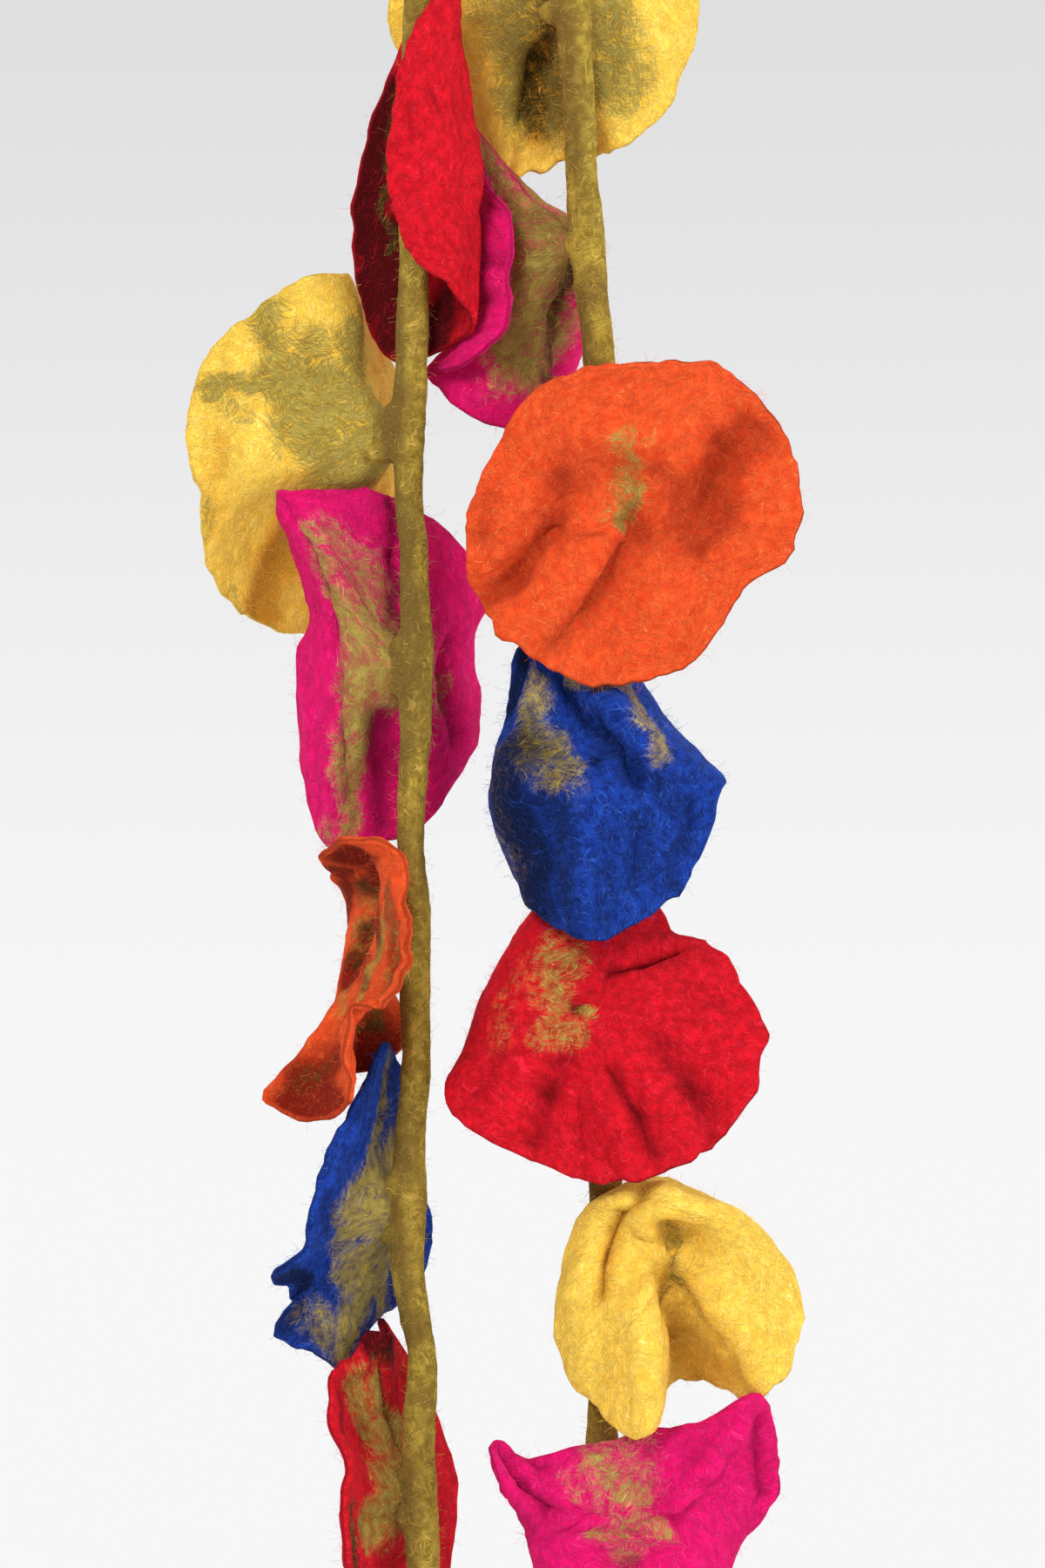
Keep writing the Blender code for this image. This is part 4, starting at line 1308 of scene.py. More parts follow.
def flower_mesh(flower, seed, thickness):
    """One flower: its folded felt with soft edges, dents, the green wool felted into it, and its dark wool
    and painted shade.
    """
    look = laid_look(flower)
    facing = flower_frame(flower)[2]
    turns = np.arange(FLOWER_STEPS) * (len(flower.spokes) / FLOWER_STEPS)
    reaches = np.linspace(0.0, 1.0, FLOWER_RINGS + 1)
    points = felt_surface(flower, turns, reaches)
    places = flat_places(flower, turns, reaches)
    normals = open_normals(points, facing)
    relief = felt_relief(look.folds, points, places, seed)
    outward = unit(points[-1] - points[-3])
    points = points + normals * relief[..., None]
    shift = edge_shift(look.edges, places[-1], points[-1], seed)
    points = points + (reaches**EDGE_REACH)[:, None, None] * (outward * shift[:, None])
    normals = open_normals(points, facing)
    normals[0] = unit(normals[1].mean(axis=0))

    uneven_share = THICKNESS_UNEVEN * lumps(points, THICKNESS_SIZE, seed + THICKNESS_SEED)
    half = 0.5 * thickness * (1.0 + uneven_share)
    half[0] = half[0].mean()
    depth = np.linalg.norm(points - points[0, 0], axis=-1)
    drawn = neck_place(flower, NECK_DRAWN_TO) - points[0, 0]
    mound = np.exp(-((depth / NECK_DRAWN_WIDTH) ** 2)) * fade(reaches, *NECK_DRAWN_REACH)[:, None]
    front = points + normals * half[..., None]
    back = points - normals * half[..., None] + drawn * mound[..., None]
    edge = []
    for angle in EDGE_ANGLES:
        lean = normals[-1] * cos(radians(angle)) + outward * sin(radians(angle))
        edge.append(points[-1] + lean * half[-1][:, None])
    rings = np.concatenate([front[1:], np.array(edge), back[:0:-1]])
    hubs = np.array([front[0, 0], back[0, 0]])

    # Painted shade where the felt is pressed in, on each face.
    values = {"hollow": tuple(np.clip(side * relief / HOLLOW_SHADE_DEPTH, 0.0, 1.0) for side in (-1.0, 1.0))}
    # green is the green wool; dark is dark wool and painted shade.
    for value_name, streaks in (("green", look.greens), ("dark", look.darks)):
        values[value_name] = tuple(streaks_share(streaks, points, places, seed, face) for face in (1, 0))
    values["green"] = (values["green"][0], np.maximum(values["green"][1], fade(depth, *NECK_GREEN)))
    joined = {}
    for value_name, (over, under) in values.items():
        between = np.tile(0.5 * (over[-1] + under[-1]), len(edge))
        joined[value_name] = in_mesh_order(over, between, under)
    rims = [places[-1] * (1.0 + EDGE_STEP * (step + 1)) for step in range(len(edge))]
    laid = in_mesh_order(places, np.concatenate(rims), places)
    far_side = np.concatenate([np.zeros(len(laid) // 2), np.full(len(laid) - len(laid) // 2, FAR_SIDE)])
    far_side[-2] = 0.0
    laid = np.column_stack([laid + 3.0 * FAR_SIDE * seed, far_side])
    return sheet_mesh(piece_name(flower), rings, hubs, joined, laid)


def piece_name(flower):
    return flower.name.replace("flower", "petals")


def tube(shape, points, radii, sides):
    """Adds a closed tube along the points to the shape."""
    rings = []
    across = np.array((0.0, 1.0, 0.0))
    for index, point in enumerate(points):
        along = unit(points[min(index + 1, len(points) - 1)] - points[max(index - 1, 0)])
        across = unit(across - along * (across @ along))
        beside = np.cross(along, across)
        ring = []
        for side in range(sides):
            angle = 2.0 * pi * side / sides
            spread = across * cos(angle) + beside * sin(angle)
            ring.append(shape.verts.new((point + spread * radii[index]) * MM))
        rings.append(ring)
    for ring, following in zip(rings, rings[1:]):
        for side in range(sides):
            other = (side + 1) % sides
            shape.faces.new((ring[side], ring[other], following[other], following[side]))
    shape.faces.new(rings[0])
    shape.faces.new(rings[-1])


def stem_course():
    """The points and radii of the stem, evenly spaced along its smooth course, ends rounded."""
    places = [place(point.side, point.near, point.up) for point in STEM_POINTS]
    radii = [point.radius for point in STEM_POINTS]
    last = len(places) - 1
    course, widths = [], []
    for index in range(last):
        pieces = max(1, round(np.linalg.norm(places[index + 1] - places[index]) / STEM_STEP))
        ends = (max(index - 1, 0), index, index + 1, min(index + 2, last))
        for piece in range(pieces):
            part = piece / pieces
            course.append(curve_between(*(places[end] for end in ends), part))
            widths.append(curve_between(*(radii[end] for end in ends), part))
    course.append(places[last])
    widths.append(radii[last])
    first_tip = course[0] + unit(course[0] - course[1]) * (TIP_LENGTH * widths[0])
    last_tip = course[-1] + unit(course[-1] - course[-2]) * (TIP_LENGTH * widths[-1])
    return [first_tip, *course, last_tip], [TIP_WIDTH * widths[0], *widths, TIP_WIDTH * widths[-1]]


def neck_place(flower, part, rise=0.0):
    """The middle of the neck at this share of its way from inside the stem to its flower."""
    facing = flower_frame(flower)[2]
    root = place(flower.root_side, 0.0, flower.root_up + rise)
    up = np.array((0.0, 0.0, WEB_NARROWS * rise))
    seat = place(*flower.middle) - facing * NECK_SEAT_DEPTH + up - facing * (up @ facing)
    bend = seat - facing * NECK_STRAIGHT
    return root * (1.0 - part) ** 2 + bend * (2.0 * part * (1.0 - part)) + seat * part**2


def neck_course(flower, rise):
    """The points and radii of one strand of the neck, from inside the stem to the back of its flower."""
    points, radii = [], []
    sideways = abs(unit(neck_place(flower, 0.5) - neck_place(flower, 0.0))[0])
    root_radius = NECK_ROOT_RADIUS + NECK_ROOT_FLARE * sideways
    for ring in range(NECK_RINGS + 1):
        part = ring / NECK_RINGS
        left = 1.0 - part
        points.append(neck_place(flower, part, rise))
        flare = (root_radius - NECK_WAIST_RADIUS) * left**3 + (NECK_SEAT_RADIUS - NECK_WAIST_RADIUS) * part**2
        radii.append(NECK_WAIST_RADIUS + flare)
    return points, radii


def flatten_modifiers(piece):
    """Gives the piece the plain mesh that its modifiers make."""
    graph = bpy.context.evaluated_depsgraph_get()
    mesh = bpy.data.meshes.new_from_object(piece.evaluated_get(graph))
    piece.modifiers.clear()
    old = piece.data
    piece.data = mesh
    bpy.data.meshes.remove(old)
    return mesh


def add_piece(name, mesh, material):
    mesh.materials.clear()
    mesh.materials.append(material)
    piece = bpy.data.objects.new(name, mesh)
    bpy.context.scene.collection.objects.link(piece)
    return piece


def stem_piece(material):
    """The stem and its necks as one piece of rolled felt, with lumps and dents."""
    shape = bmesh.new()
    tube(shape, *stem_course(), STEM_SIDES)
    for flower in FLOWERS:
        web = WEBS.get(flower.name, 0.0)
        for rise in sorted({-web, 0.0, web}):
            tube(shape, *neck_course(flower, rise), STEM_SIDES)
    bmesh.ops.recalc_face_normals(shape, faces=shape.faces)
    mesh = bpy.data.meshes.new("felt_stem")
    shape.to_mesh(mesh)
    shape.free()
    stem = add_piece("felt_stem", mesh, material)
    join = stem.modifiers.new("one skin", "REMESH")
    join.mode = "VOXEL"
    join.voxel_size = STEM_GRAIN * MM
    relax = stem.modifiers.new("rubbed smooth", "SMOOTH")
    relax.factor = 0.5
    relax.iterations = STEM_RUBS
    mesh = flatten_modifiers(stem)

    count = len(mesh.vertices)
    points, normals = np.empty(count * 3), np.empty(count * 3)
    mesh.vertices.foreach_get("co", points)
    mesh.vertex_normals.foreach_get("vector", normals)
    points, normals = points.reshape(-1, 3) / MM, normals.reshape(-1, 3)
    rolled = points * STEM_STRETCH
    relief = uneven(rolled, STEM_LUMPS, STEM_SEED)
    brown = BROWN_LEVEL + BROWN_PATCHES * lumps(rolled, BROWN_SIZE, BROWN_SEED)
    brown = np.clip(brown - BROWN_LEFT * normals[:, 0] - BROWN_FRONT * normals[:, 1], 0.0, 1.0)
    points += normals * (STEM_SWELL + relief)[:, None]
    mesh.vertices.foreach_set("co", (points * MM).ravel())
    # The stem is all green wool, with its brown patches, and painted shade in its dents.
    values = {"green": np.ones(count), "dark": brown, "hollow": np.clip(-relief, 0.0, 1.0)}
    add_values(mesh, values, points[:, (0, 2, 1)])
    mesh.shade_smooth()
    mesh.materials.clear()
    mesh.materials.append(material)
    return stem


def add_node(tree, kind, inputs=(), **settings):
    """A node with these settings. inputs pairs its sockets with a value or another socket."""
    made = tree.nodes.new(kind)
    for setting, value in settings.items():
        setattr(made, setting, value)
    for socket, value in dict(inputs).items():
        if isinstance(value, bpy.types.NodeSocket):
            tree.links.new(value, made.inputs[socket])
        else:
            made.inputs[socket].default_value = value
    return made


def maths(tree, operation, first, second=0.0, clamp=False):
    made = add_node(tree, "ShaderNodeMath", {0: first, 1: second}, operation=operation, use_clamp=clamp)
    return made.outputs[0]


def times_plus(tree, value, factor, shift):
    made = add_node(tree, "ShaderNodeMath", {0: value, 1: factor, 2: shift}, operation="MULTIPLY_ADD")
    return made.outputs[0]


def scaled_sum(tree, first, first_share, second, second_share):
    scaled_first = maths(tree, "MULTIPLY", first, first_share)
    return maths(tree, "ADD", scaled_first, maths(tree, "MULTIPLY", second, second_share))


def vector_maths(tree, operation, first, second):
    return add_node(tree, "ShaderNodeVectorMath", {0: first, 1: second}, operation=operation).outputs[0]


def scaled(tree, vector, scale):
    return add_node(tree, "ShaderNodeVectorMath", {0: vector, "Scale": scale}, operation="SCALE").outputs[0]


def clouds(tree, place, scale, detail=1.0, roughness=0.5):
    """Soft noise over the place; its outputs are a value, Fac, and a Color."""
    inputs = {"Vector": place, "Scale": scale, "Detail": detail, "Roughness": roughness}
    return add_node(tree, "ShaderNodeTexNoise", inputs).outputs


def soft_step(tree, value, low, high):
    inputs = {"Value": value, "From Min": low, "From Max": high}
    return add_node(tree, "ShaderNodeMapRange", inputs, interpolation_type="SMOOTHSTEP").outputs[0]


def blend(tree, share, first, second, blend_type="MIX"):
    mix = add_node(tree, "ShaderNodeMix", data_type="RGBA", blend_type=blend_type)
    for socket, value in ((0, share), (6, first), (7, second)):
        if isinstance(value, bpy.types.NodeSocket):
            tree.links.new(value, mix.inputs[socket])
        else:
            mix.inputs[socket].default_value = value
    return mix.outputs[2]


def surface_value(tree, name, output="Fac"):
    made = add_node(tree, "ShaderNodeAttribute", attribute_type="GEOMETRY", attribute_name=name)
    return made.outputs[output]


def felt_fibres_group():
    """Matted wool laid along the felt: its tone, its light, dark and mixed hairs, and their height."""
    group = bpy.data.node_groups.new("felt fibres", "ShaderNodeTree")
    for name, value in (("Cloud Scale", CLOUD_SCALE), ("Hair Scale", HAIR_SCALE)):
        group.interface.new_socket(name, in_out="INPUT", socket_type="NodeSocketFloat").default_value = value
    for name in ("Tone", "Light Hair", "Dark Hair", "Mix", "Height"):
        group.interface.new_socket(name, in_out="OUTPUT", socket_type="NodeSocketFloat")
    asked = group.nodes.new("NodeGroupInput").outputs
    given = group.nodes.new("NodeGroupOutput").inputs
    laid = surface_value(group, "laid", "Vector")
    cloud = clouds(group, laid, asked["Cloud Scale"], 3.0, 0.6)["Fac"]
    wander = scaled(group, clouds(group, laid, HAIR_WANDER_SCALE)["Color"], HAIR_WANDER)
    bent = vector_maths(group, "ADD", laid, wander)
    strands = []
    for turn in HAIR_TURNS:
        bundle = add_node(group, "ShaderNodeMapping", {"Vector": bent, "Rotation": (0.0, 0.0, radians(turn))})
        bundle = vector_maths(group, "MULTIPLY", bundle.outputs[0], HAIR_STRETCH)
        strands.append(clouds(group, bundle, asked["Hair Scale"])["Fac"])
    light = soft_step(group, strands[0], *LIGHT_STEP)
    for strand in strands[1:3]:
        light = maths(group, "MAXIMUM", light, soft_step(group, strand, *LIGHT_STEP))
    gaps = soft_step(group, strands[1], *GAP_STEP)
    dark = maths(group, "MAXIMUM", soft_step(group, strands[3], *DARK_STEP), gaps)
    mixed = scaled_sum(group, strands[0], 0.5, strands[2], 0.5)
    height = scaled_sum(group, light, LIGHT_HEIGHT, cloud, CLOUD_HEIGHT)
    height = maths(group, "SUBTRACT", height, maths(group, "MULTIPLY", dark, DARK_DEPTH))
    made = {"Tone": cloud, "Light Hair": light, "Dark Hair": dark, "Mix": mixed, "Height": height}
    for name, value in made.items():
        group.links.new(value, given[name])
    return group


def hairy_wool(tree, fibres, wool):
    """One wool's cloudy colour with its light and dark hairs."""
    tone = soft_step(tree, fibres.outputs["Tone"], *TONE_STEP)
    colour = blend(tree, tone, wool.dark, wool.middle)
    colour = blend(tree, maths(tree, "MULTIPLY", fibres.outputs["Dark Hair"], DARK_HAIRS), colour, wool.dark)
    return blend(tree, maths(tree, "MULTIPLY", fibres.outputs["Light Hair"], LIGHT_HAIRS), colour, wool.light)


def green_share(tree, fibres):
    """How much green wool shows: the more is felted in, the more of the single hairs are green."""
    strand = times_plus(tree, fibres.outputs["Mix"], *GREEN_HAIRS)
    cloudy = times_plus(tree, fibres.outputs["Tone"], *GREEN_CLOUDS)
    present = surface_value(tree, "green")
    starts = maths(tree, "MULTIPLY", present, GREEN_STARTS, clamp=True)
    torn = maths(tree, "MULTIPLY", maths(tree, "ADD", strand, cloudy), starts)
    return soft_step(tree, maths(tree, "ADD", present, torn), *GREEN_STEP)


def felt_material(name, wool, green, fibres_group, hair_scale):
    """Thick matted felt."""
    material = bpy.data.materials.new(name)
    material.use_nodes = True
    tree = material.node_tree
    shader = tree.nodes["Principled BSDF"]
    fibres = add_node(tree, "ShaderNodeGroup", node_tree=fibres_group)
    fibres.inputs["Hair Scale"].default_value = hair_scale
    share = green_share(tree, fibres)
    colour = blend(tree, share, hairy_wool(tree, fibres, wool), hairy_wool(tree, fibres, green))
    deep = blend(tree, share, wool.deep, green.deep)
    # Dark wool and painted shade, thinned where light hairs lie over them, and the painted shade of hollows
    # turn the colour towards the deep colour.
    showing_through_hairs = times_plus(tree, fibres.outputs["Light Hair"], *SHOWING_THROUGH_HAIRS)
    dark_and_shade_share = maths(tree, "MULTIPLY", surface_value(tree, "dark"), showing_through_hairs, clamp=True)
    hollow = maths(tree, "MULTIPLY", surface_value(tree, "hollow"), HOLLOW_SHADE_SHARE)
    colour = blend(tree, maths(tree, "MAXIMUM", dark_and_shade_share, hollow), colour, deep)
    tree.links.new(colour, shader.inputs["Base Color"])
    relief = {"Height": fibres.outputs["Height"], "Strength": FELT_BUMP, "Distance": FELT_BUMP_DEPTH}
    bump = add_node(tree, "ShaderNodeBump", relief)
    tree.links.new(bump.outputs["Normal"], shader.inputs["Normal"])
    shader.inputs["Roughness"].default_value = 1.0
    shader.inputs["Specular IOR Level"].default_value = 0.15
    shader.inputs["Sheen Weight"].default_value = SHEEN
    shader.inputs["Sheen Roughness"].default_value = SHEEN_SPREAD
    shader.inputs["Sheen Tint"].default_value = wool.light
    material.diffuse_color = wool.middle
    return material


def fuzz_material(name, wool, green):
    """Single loose hairs of the wool."""
    material = bpy.data.materials.new(name)
    material.use_nodes = True
    tree = material.node_tree
    shader = tree.nodes["Principled BSDF"]
    share = soft_step(tree, surface_value(tree, "green"), *LOOSE_GREEN_STEP)
    here = add_node(tree, "ShaderNodeTexCoord").outputs["Object"]
    tone = soft_step(tree, clouds(tree, here, LOOSE_CLOUD_SCALE, 2.0)["Fac"], *LOOSE_TONE_STEP)
    plain = blend(tree, tone, wool.middle, wool.light)
    mossy = blend(tree, tone, green.middle, green.light)
    tree.links.new(blend(tree, share, plain, mossy), shader.inputs["Base Color"])
    shader.inputs["Roughness"].default_value = 0.9
    shader.inputs["Specular IOR Level"].default_value = 0.2
    material.diffuse_color = wool.light
    return material


def fuzz_tree():
    """Geometry Nodes: loose hairs that stand out of a felt surface and curl."""
    tree = bpy.data.node_groups.new("loose hairs", "GeometryNodeTree")
    tree.interface.new_socket("Geometry", in_out="INPUT", socket_type="NodeSocketGeometry")
    for name, kind, value in (
        ("Hairs per Square Metre", "NodeSocketFloat", 1000.0),
        ("Hair Length", "NodeSocketFloat", 0.006),
        ("Hair Radius", "NodeSocketFloat", 0.00005),
        ("Curl", "NodeSocketFloat", 0.004),
        ("Seed", "NodeSocketInt", 0),
        ("Wool", "NodeSocketMaterial", None),
    ):
        socket = tree.interface.new_socket(name, in_out="INPUT", socket_type=kind)
        if value is not None:
            socket.default_value = value
    tree.interface.new_socket("Geometry", in_out="OUTPUT", socket_type="NodeSocketGeometry")
    asked = tree.nodes.new("NodeGroupInput").outputs
    given = tree.nodes.new("NodeGroupOutput").inputs

    roots = add_node(
        tree,
        "GeometryNodeDistributePointsOnFaces",
        {"Mesh": asked["Geometry"], "Density": asked["Hairs per Square Metre"], "Seed": asked["Seed"]},
    )
    lean = add_node(tree, "FunctionNodeRandomValue", {"Seed": asked["Seed"]}, data_type="FLOAT_VECTOR")
    lean.inputs[0].default_value = (-HAIR_LEAN,) * 3
    lean.inputs[1].default_value = (HAIR_LEAN,) * 3
    way = vector_maths(tree, "ADD", roots.outputs["Normal"], lean.outputs[0])
    turned = add_node(tree, "FunctionNodeAlignRotationToVector", {"Vector": way}, axis="Z")
    length = add_node(tree, "FunctionNodeRandomValue", {"Seed": asked["Seed"]}, data_type="FLOAT")
    length.inputs[2].default_value = SHORTEST_HAIR
    length.inputs[3].default_value = 1.0
    tip = add_node(tree, "ShaderNodeCombineXYZ", {"Z": asked["Hair Length"]})
    line = add_node(tree, "GeometryNodeCurvePrimitiveLine", {"End": tip.outputs[0]})
    line = add_node(tree, "GeometryNodeResampleCurve", {"Curve": line.outputs[0], "Count": HAIR_POINTS})
    standing = {
        "Points": roots.outputs["Points"],
        "Instance": line.outputs[0],
        "Rotation": turned.outputs[0],
        "Scale": length.outputs[1],
    }
    hairs = add_node(tree, "GeometryNodeInstanceOnPoints", standing)
    hairs = add_node(tree, "GeometryNodeRealizeInstances", {"Geometry": hairs.outputs[0]})
    here = add_node(tree, "GeometryNodeInputPosition")
    bend = vector_maths(
        tree, "SUBTRACT", clouds(tree, here.outputs[0], HAIR_BEND_SCALE)["Color"], NOISE_MIDDLE
    )
    along = add_node(tree, "GeometryNodeSplineParameter")
    bend = scaled(tree, bend, maths(tree, "MULTIPLY", along.outputs["Factor"], asked["Curl"]))
    hairs = add_node(tree, "GeometryNodeSetPosition", {"Geometry": hairs.outputs[0], "Offset": bend})
    round_section = {"Resolution": HAIR_SIDES, "Radius": asked["Hair Radius"]}
    section = add_node(tree, "GeometryNodeCurvePrimitiveCircle", round_section)
    hairs = add_node(
        tree,
        "GeometryNodeCurveToMesh",
        {"Curve": hairs.outputs[0], "Profile Curve": section.outputs[0], "Fill Caps": True},
    )
    hairs = add_node(tree, "GeometryNodeRealizeInstances", {"Geometry": hairs.outputs[0]})
    coloured = {"Geometry": hairs.outputs[0], "Material": asked["Wool"]}
    hairs = add_node(tree, "GeometryNodeSetMaterial", coloured)
    tree.links.new(hairs.outputs[0], given["Geometry"])
    return tree


def fuzz_piece(name, felt, tree, material, sizes, seed):
    """The loose hairs of one felt piece, as a plain mesh."""
    piece = add_piece(name, felt.data.copy(), material)
    hairs = piece.modifiers.new("loose hairs", "NODES")
    hairs.node_group = tree
    wanted = {
        "Hairs per Square Metre": sizes.hairs,
        "Hair Length": sizes.hair_length,
        "Hair Radius": sizes.hair_radius,
        "Curl": sizes.hair_curl,
        "Seed": seed,
        "Wool": material,
    }
    for item in tree.interface.items_tree:
        if item.in_out == "INPUT" and item.name in wanted:
            hairs[item.identifier] = wanted[item.name]
    flatten_modifiers(piece)
    return piece


def stage_floor(material):
    half = 0.5 * FLOOR_SIZE
    corners = [(-half, -half), (half, -half), (half, half), (-half, half)]
    mesh = bpy.data.meshes.new("studio_floor")
    mesh.from_pydata([(x, y, FLOOR_HEIGHT) for x, y in corners], [], [(0, 1, 2, 3)])
    return add_piece("studio_floor", mesh, material)


def plain_material(name, colour):
    material = bpy.data.materials.new(name)
    material.use_nodes = True
    shader = material.node_tree.nodes["Principled BSDF"]
    shader.inputs["Base Color"].default_value = colour
    shader.inputs["Roughness"].default_value = 0.9
    return material


def aim(thing, target):
    thing.rotation_euler = (Vector(target) - thing.location).to_track_quat("-Z", "Y").to_euler()


def add_lamp(lamp, power):
    light = bpy.data.lights.new(lamp.name, "AREA")
    light.shape = "DISK"
    light.size = lamp.size
    light.energy = lamp.watts * power
    made = bpy.data.objects.new(lamp.name, light)
    made.location = (lamp.side, -lamp.near, lamp.up)
    aim(made, VIEW_MIDDLE)
    bpy.context.scene.collection.objects.link(made)


def light_room(room_light):
    """A pale backdrop, a little darker at the top, that also lights the room evenly."""
    world = bpy.data.worlds.new("pale studio")
    world.use_nodes = True
    tree = world.node_tree
    tree.nodes.clear()
    way = add_node(tree, "ShaderNodeTexCoord").outputs["Generated"]
    up = add_node(tree, "ShaderNodeSeparateXYZ", {0: way}).outputs["Z"]
    backdrop = blend(tree, soft_step(tree, up, *BACKDROP_STEP), BACKDROP_LOW, BACKDROP_HIGH)
    seen = add_node(tree, "ShaderNodeBackground", {"Color": backdrop, "Strength": 1.0})
    room = add_node(tree, "ShaderNodeBackground", {"Color": ROOM_LIGHT, "Strength": room_light})
    camera_ray = add_node(tree, "ShaderNodeLightPath").outputs["Is Camera Ray"]
    mix = add_node(tree, "ShaderNodeMixShader", {0: camera_ray, 1: room.outputs[0], 2: seen.outputs[0]})
    add_node(tree, "ShaderNodeOutputWorld", {"Surface": mix.outputs[0]})
    bpy.context.scene.world = world


def add_camera():
    camera = bpy.data.objects.new("camera", bpy.data.cameras.new("camera"))
    camera.data.sensor_width = VIEW_SENSOR
    camera.data.lens = VIEW_SENSOR * VIEW_DISTANCE / VIEW_HEIGHT
    camera.data.clip_end = 50.0
    camera.location = Vector(VIEW_MIDDLE) + Vector((0.0, -VIEW_DISTANCE, 0.0))
    aim(camera, VIEW_MIDDLE)
    bpy.context.scene.collection.objects.link(camera)
    bpy.context.scene.camera = camera


def colour_property(name, description, default):
    return bpy.props.FloatVectorProperty(
        name=name, description=description, default=default, size=3, min=0.0, max=1.0, subtype="COLOR"
    )


class GarlandSizes(bpy.types.PropertyGroup):
    """Sizes that a user would change."""

    felt_thickness: bpy.props.FloatProperty(
        name="Felt thickness",
        description="Thickness of each flower's felt",
        default=0.0024,
        min=0.001,
        unit="LENGTH",
    )
    hairs: bpy.props.FloatProperty(
        name="Loose hairs", description="Loose hairs on each square metre of felt", default=130000.0, min=0.0
    )
    hair_length: bpy.props.FloatProperty(
        name="Hair length", description="Length of the longest loose hairs", default=0.0034, unit="LENGTH"
    )
    hair_radius: bpy.props.FloatProperty(
        name="Hair radius", description="Half the thickness of a loose hair", default=0.000028, unit="LENGTH"
    )
    hair_curl: bpy.props.FloatProperty(
        name="Hair curl",
        description="How far a hair's tip strays from a straight line",
        default=0.008,
        unit="LENGTH",
    )


class GarlandColours(bpy.types.PropertyGroup):
    """Colours of the wool, one for each kind of felt."""

    green: colour_property("Green", "Wool of the stem, the necks and the streaks", (0.42, 0.29, 0.04))
    moss: colour_property("Moss", "Green wool felted into the flowers", (0.38, 0.29, 0.055))
    red: colour_property("Red", "Wool of the red flowers", (0.68, 0.004, 0.016))
    yellow: colour_property("Yellow", "Wool of the yellow flowers", (0.94, 0.61, 0.085))
    pink: colour_property("Pink", "Wool of the pink flowers", (0.78, 0.003, 0.15))
    orange: colour_property("Orange", "Wool of the orange flowers", (0.82, 0.09, 0.018))
    blue: colour_property("Blue", "Wool of the blue flowers", (0.006, 0.044, 0.35))


class StudioSettings(bpy.types.PropertyGroup):
    """The studio's light."""

    lamp_power: bpy.props.FloatProperty(
        name="Lamp power", description="Strength of the lamps against their own watts", default=1.0, min=0.0
    )
    room_light: bpy.props.FloatProperty(
        name="Room light", description="Even light from all around", default=0.7, min=0.0
    )


def wool_of(colours, name):
    """A wool's deep colour for its dark wool and painted shade, and its dark, middle and light hairs."""
    middle = tuple(getattr(colours, name))
    shades = [(*(min(value * share, 1.0) for value, share in zip(middle, tint)), 1.0) for tint in TINTS[name]]
    return Wool(shades[0], shades[1], (*middle, 1.0), shades[2])


def fibres_group():
    return bpy.data.node_groups.get("felt fibres") or felt_fibres_group()


def hairs_tree():
    return bpy.data.node_groups.get("loose hairs") or fuzz_tree()


class GARLAND_OT_make_stem(bpy.types.Operator):
    """Makes the doubled stem and its necks"""

    bl_idname = "garland.make_stem"
    bl_label = "Make stem"

    def execute(self, context):
        colours = context.scene.garland_colours
        wool = wool_of(colours, "green")._replace(deep=STEM_BROWN_AND_SHADE)
        stem = stem_piece(felt_material("felt of the stem", wool, wool, fibres_group(), STEM_HAIR_SCALE))
        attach(stem, BODY)
        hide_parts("stem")
        return {"FINISHED"}


class GARLAND_OT_make_flowers(bpy.types.Operator):
    """Makes the thirteen folded felt flowers"""

    bl_idname = "garland.make_flowers"
    bl_label = "Make flowers"

    def execute(self, context):
        colours = context.scene.garland_colours
        thickness = context.scene.garland_sizes.felt_thickness / MM
        moss = wool_of(colours, "moss")
        felts = {}
        for index, flower in enumerate(FLOWERS):
            if flower.colour not in felts:
                name = "felt of the " + flower.colour + " flowers"
                wool = wool_of(colours, flower.colour)
                felts[flower.colour] = felt_material(name, wool, moss, fibres_group(), HAIR_SCALE)
            mesh = flower_mesh(flower, SEED_STEP * (index + 1), thickness)
            petals = add_piece(piece_name(flower), mesh, felts[flower.colour])
            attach(petals, BODY)
            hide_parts(flower.name)
        return {"FINISHED"}


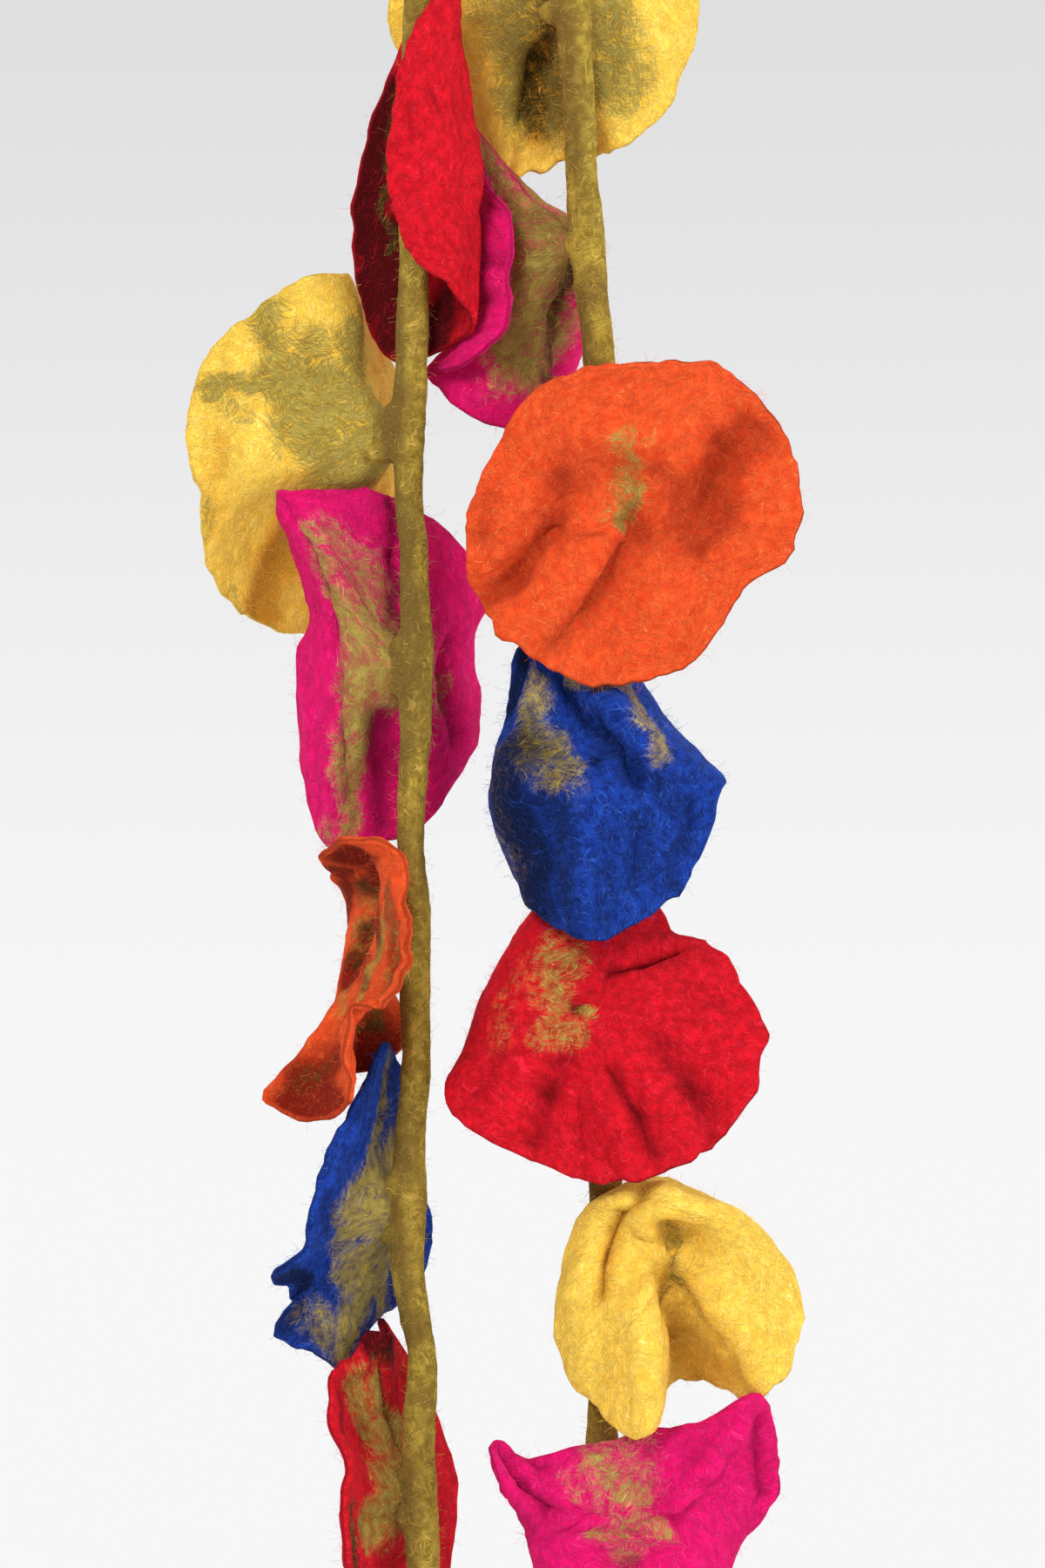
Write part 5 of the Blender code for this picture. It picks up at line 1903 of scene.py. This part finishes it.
class GARLAND_OT_make_fuzz(bpy.types.Operator):
    """Makes the loose hairs that stand out of the felt"""

    bl_idname = "garland.make_fuzz"
    bl_label = "Make loose hairs"

    def execute(self, context):
        sizes = context.scene.garland_sizes
        colours = context.scene.garland_colours
        green = wool_of(colours, "green")
        felts = [("felt_stem", "green")] + [(piece_name(flower), flower.colour) for flower in FLOWERS]
        wools = {}
        for index, (name, colour) in enumerate(felts):
            if colour not in wools:
                wools[colour] = fuzz_material("loose " + colour + " hairs", wool_of(colours, colour), green)
            felt = bpy.data.objects.get(name)
            if felt is None:
                raise RuntimeError(f"{name} isn't made yet, so it can't have loose hairs")
            hairs = fuzz_piece(name + "_hairs", felt, hairs_tree(), wools[colour], sizes, index + 1)
            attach(hairs, BODY)
        return {"FINISHED"}


class GARLAND_OT_make_stage(bpy.types.Operator):
    """Makes the floor, the studio's light and the camera"""

    bl_idname = "garland.make_stage"
    bl_label = "Make stage"

    def execute(self, context):
        studio = context.scene.garland_studio
        stage_floor(plain_material("pale floor", BACKDROP_LOW))
        light_room(studio.room_light)
        for lamp in LAMPS:
            add_lamp(lamp, studio.lamp_power)
        add_camera()
        context.scene.view_settings.view_transform = "Standard"
        return {"FINISHED"}


class GARLAND_PT_panel(bpy.types.Panel):
    """The garland's sizes, colours and pieces"""

    bl_label = "Garland"
    bl_idname = "GARLAND_PT_panel"
    bl_space_type = "VIEW_3D"
    bl_region_type = "UI"
    bl_category = "Garland"

    def draw(self, context):
        scene = context.scene
        for settings in (scene.garland_sizes, scene.garland_colours, scene.garland_studio):
            for name in settings.__annotations__:
                self.layout.prop(settings, name)
        for operator in OPERATORS:
            self.layout.operator(operator.bl_idname)


OPERATORS = (GARLAND_OT_make_stem, GARLAND_OT_make_flowers, GARLAND_OT_make_fuzz, GARLAND_OT_make_stage)
CLASSES = (GarlandSizes, GarlandColours, StudioSettings, *OPERATORS, GARLAND_PT_panel)


def register():
    for made in CLASSES:
        bpy.utils.register_class(made)
    bpy.types.Scene.garland_sizes = bpy.props.PointerProperty(type=GarlandSizes)
    bpy.types.Scene.garland_colours = bpy.props.PointerProperty(type=GarlandColours)
    bpy.types.Scene.garland_studio = bpy.props.PointerProperty(type=StudioSettings)


def unregister():
    for name in ("garland_sizes", "garland_colours", "garland_studio"):
        delattr(bpy.types.Scene, name)
    for made in reversed(CLASSES):
        bpy.utils.unregister_class(made)


def main():
    register()
    bpy.ops.garland.make_stem()
    bpy.ops.garland.make_flowers()
    bpy.ops.garland.make_fuzz()
    bpy.ops.garland.make_stage()


if __name__ == "__main__":
    main()
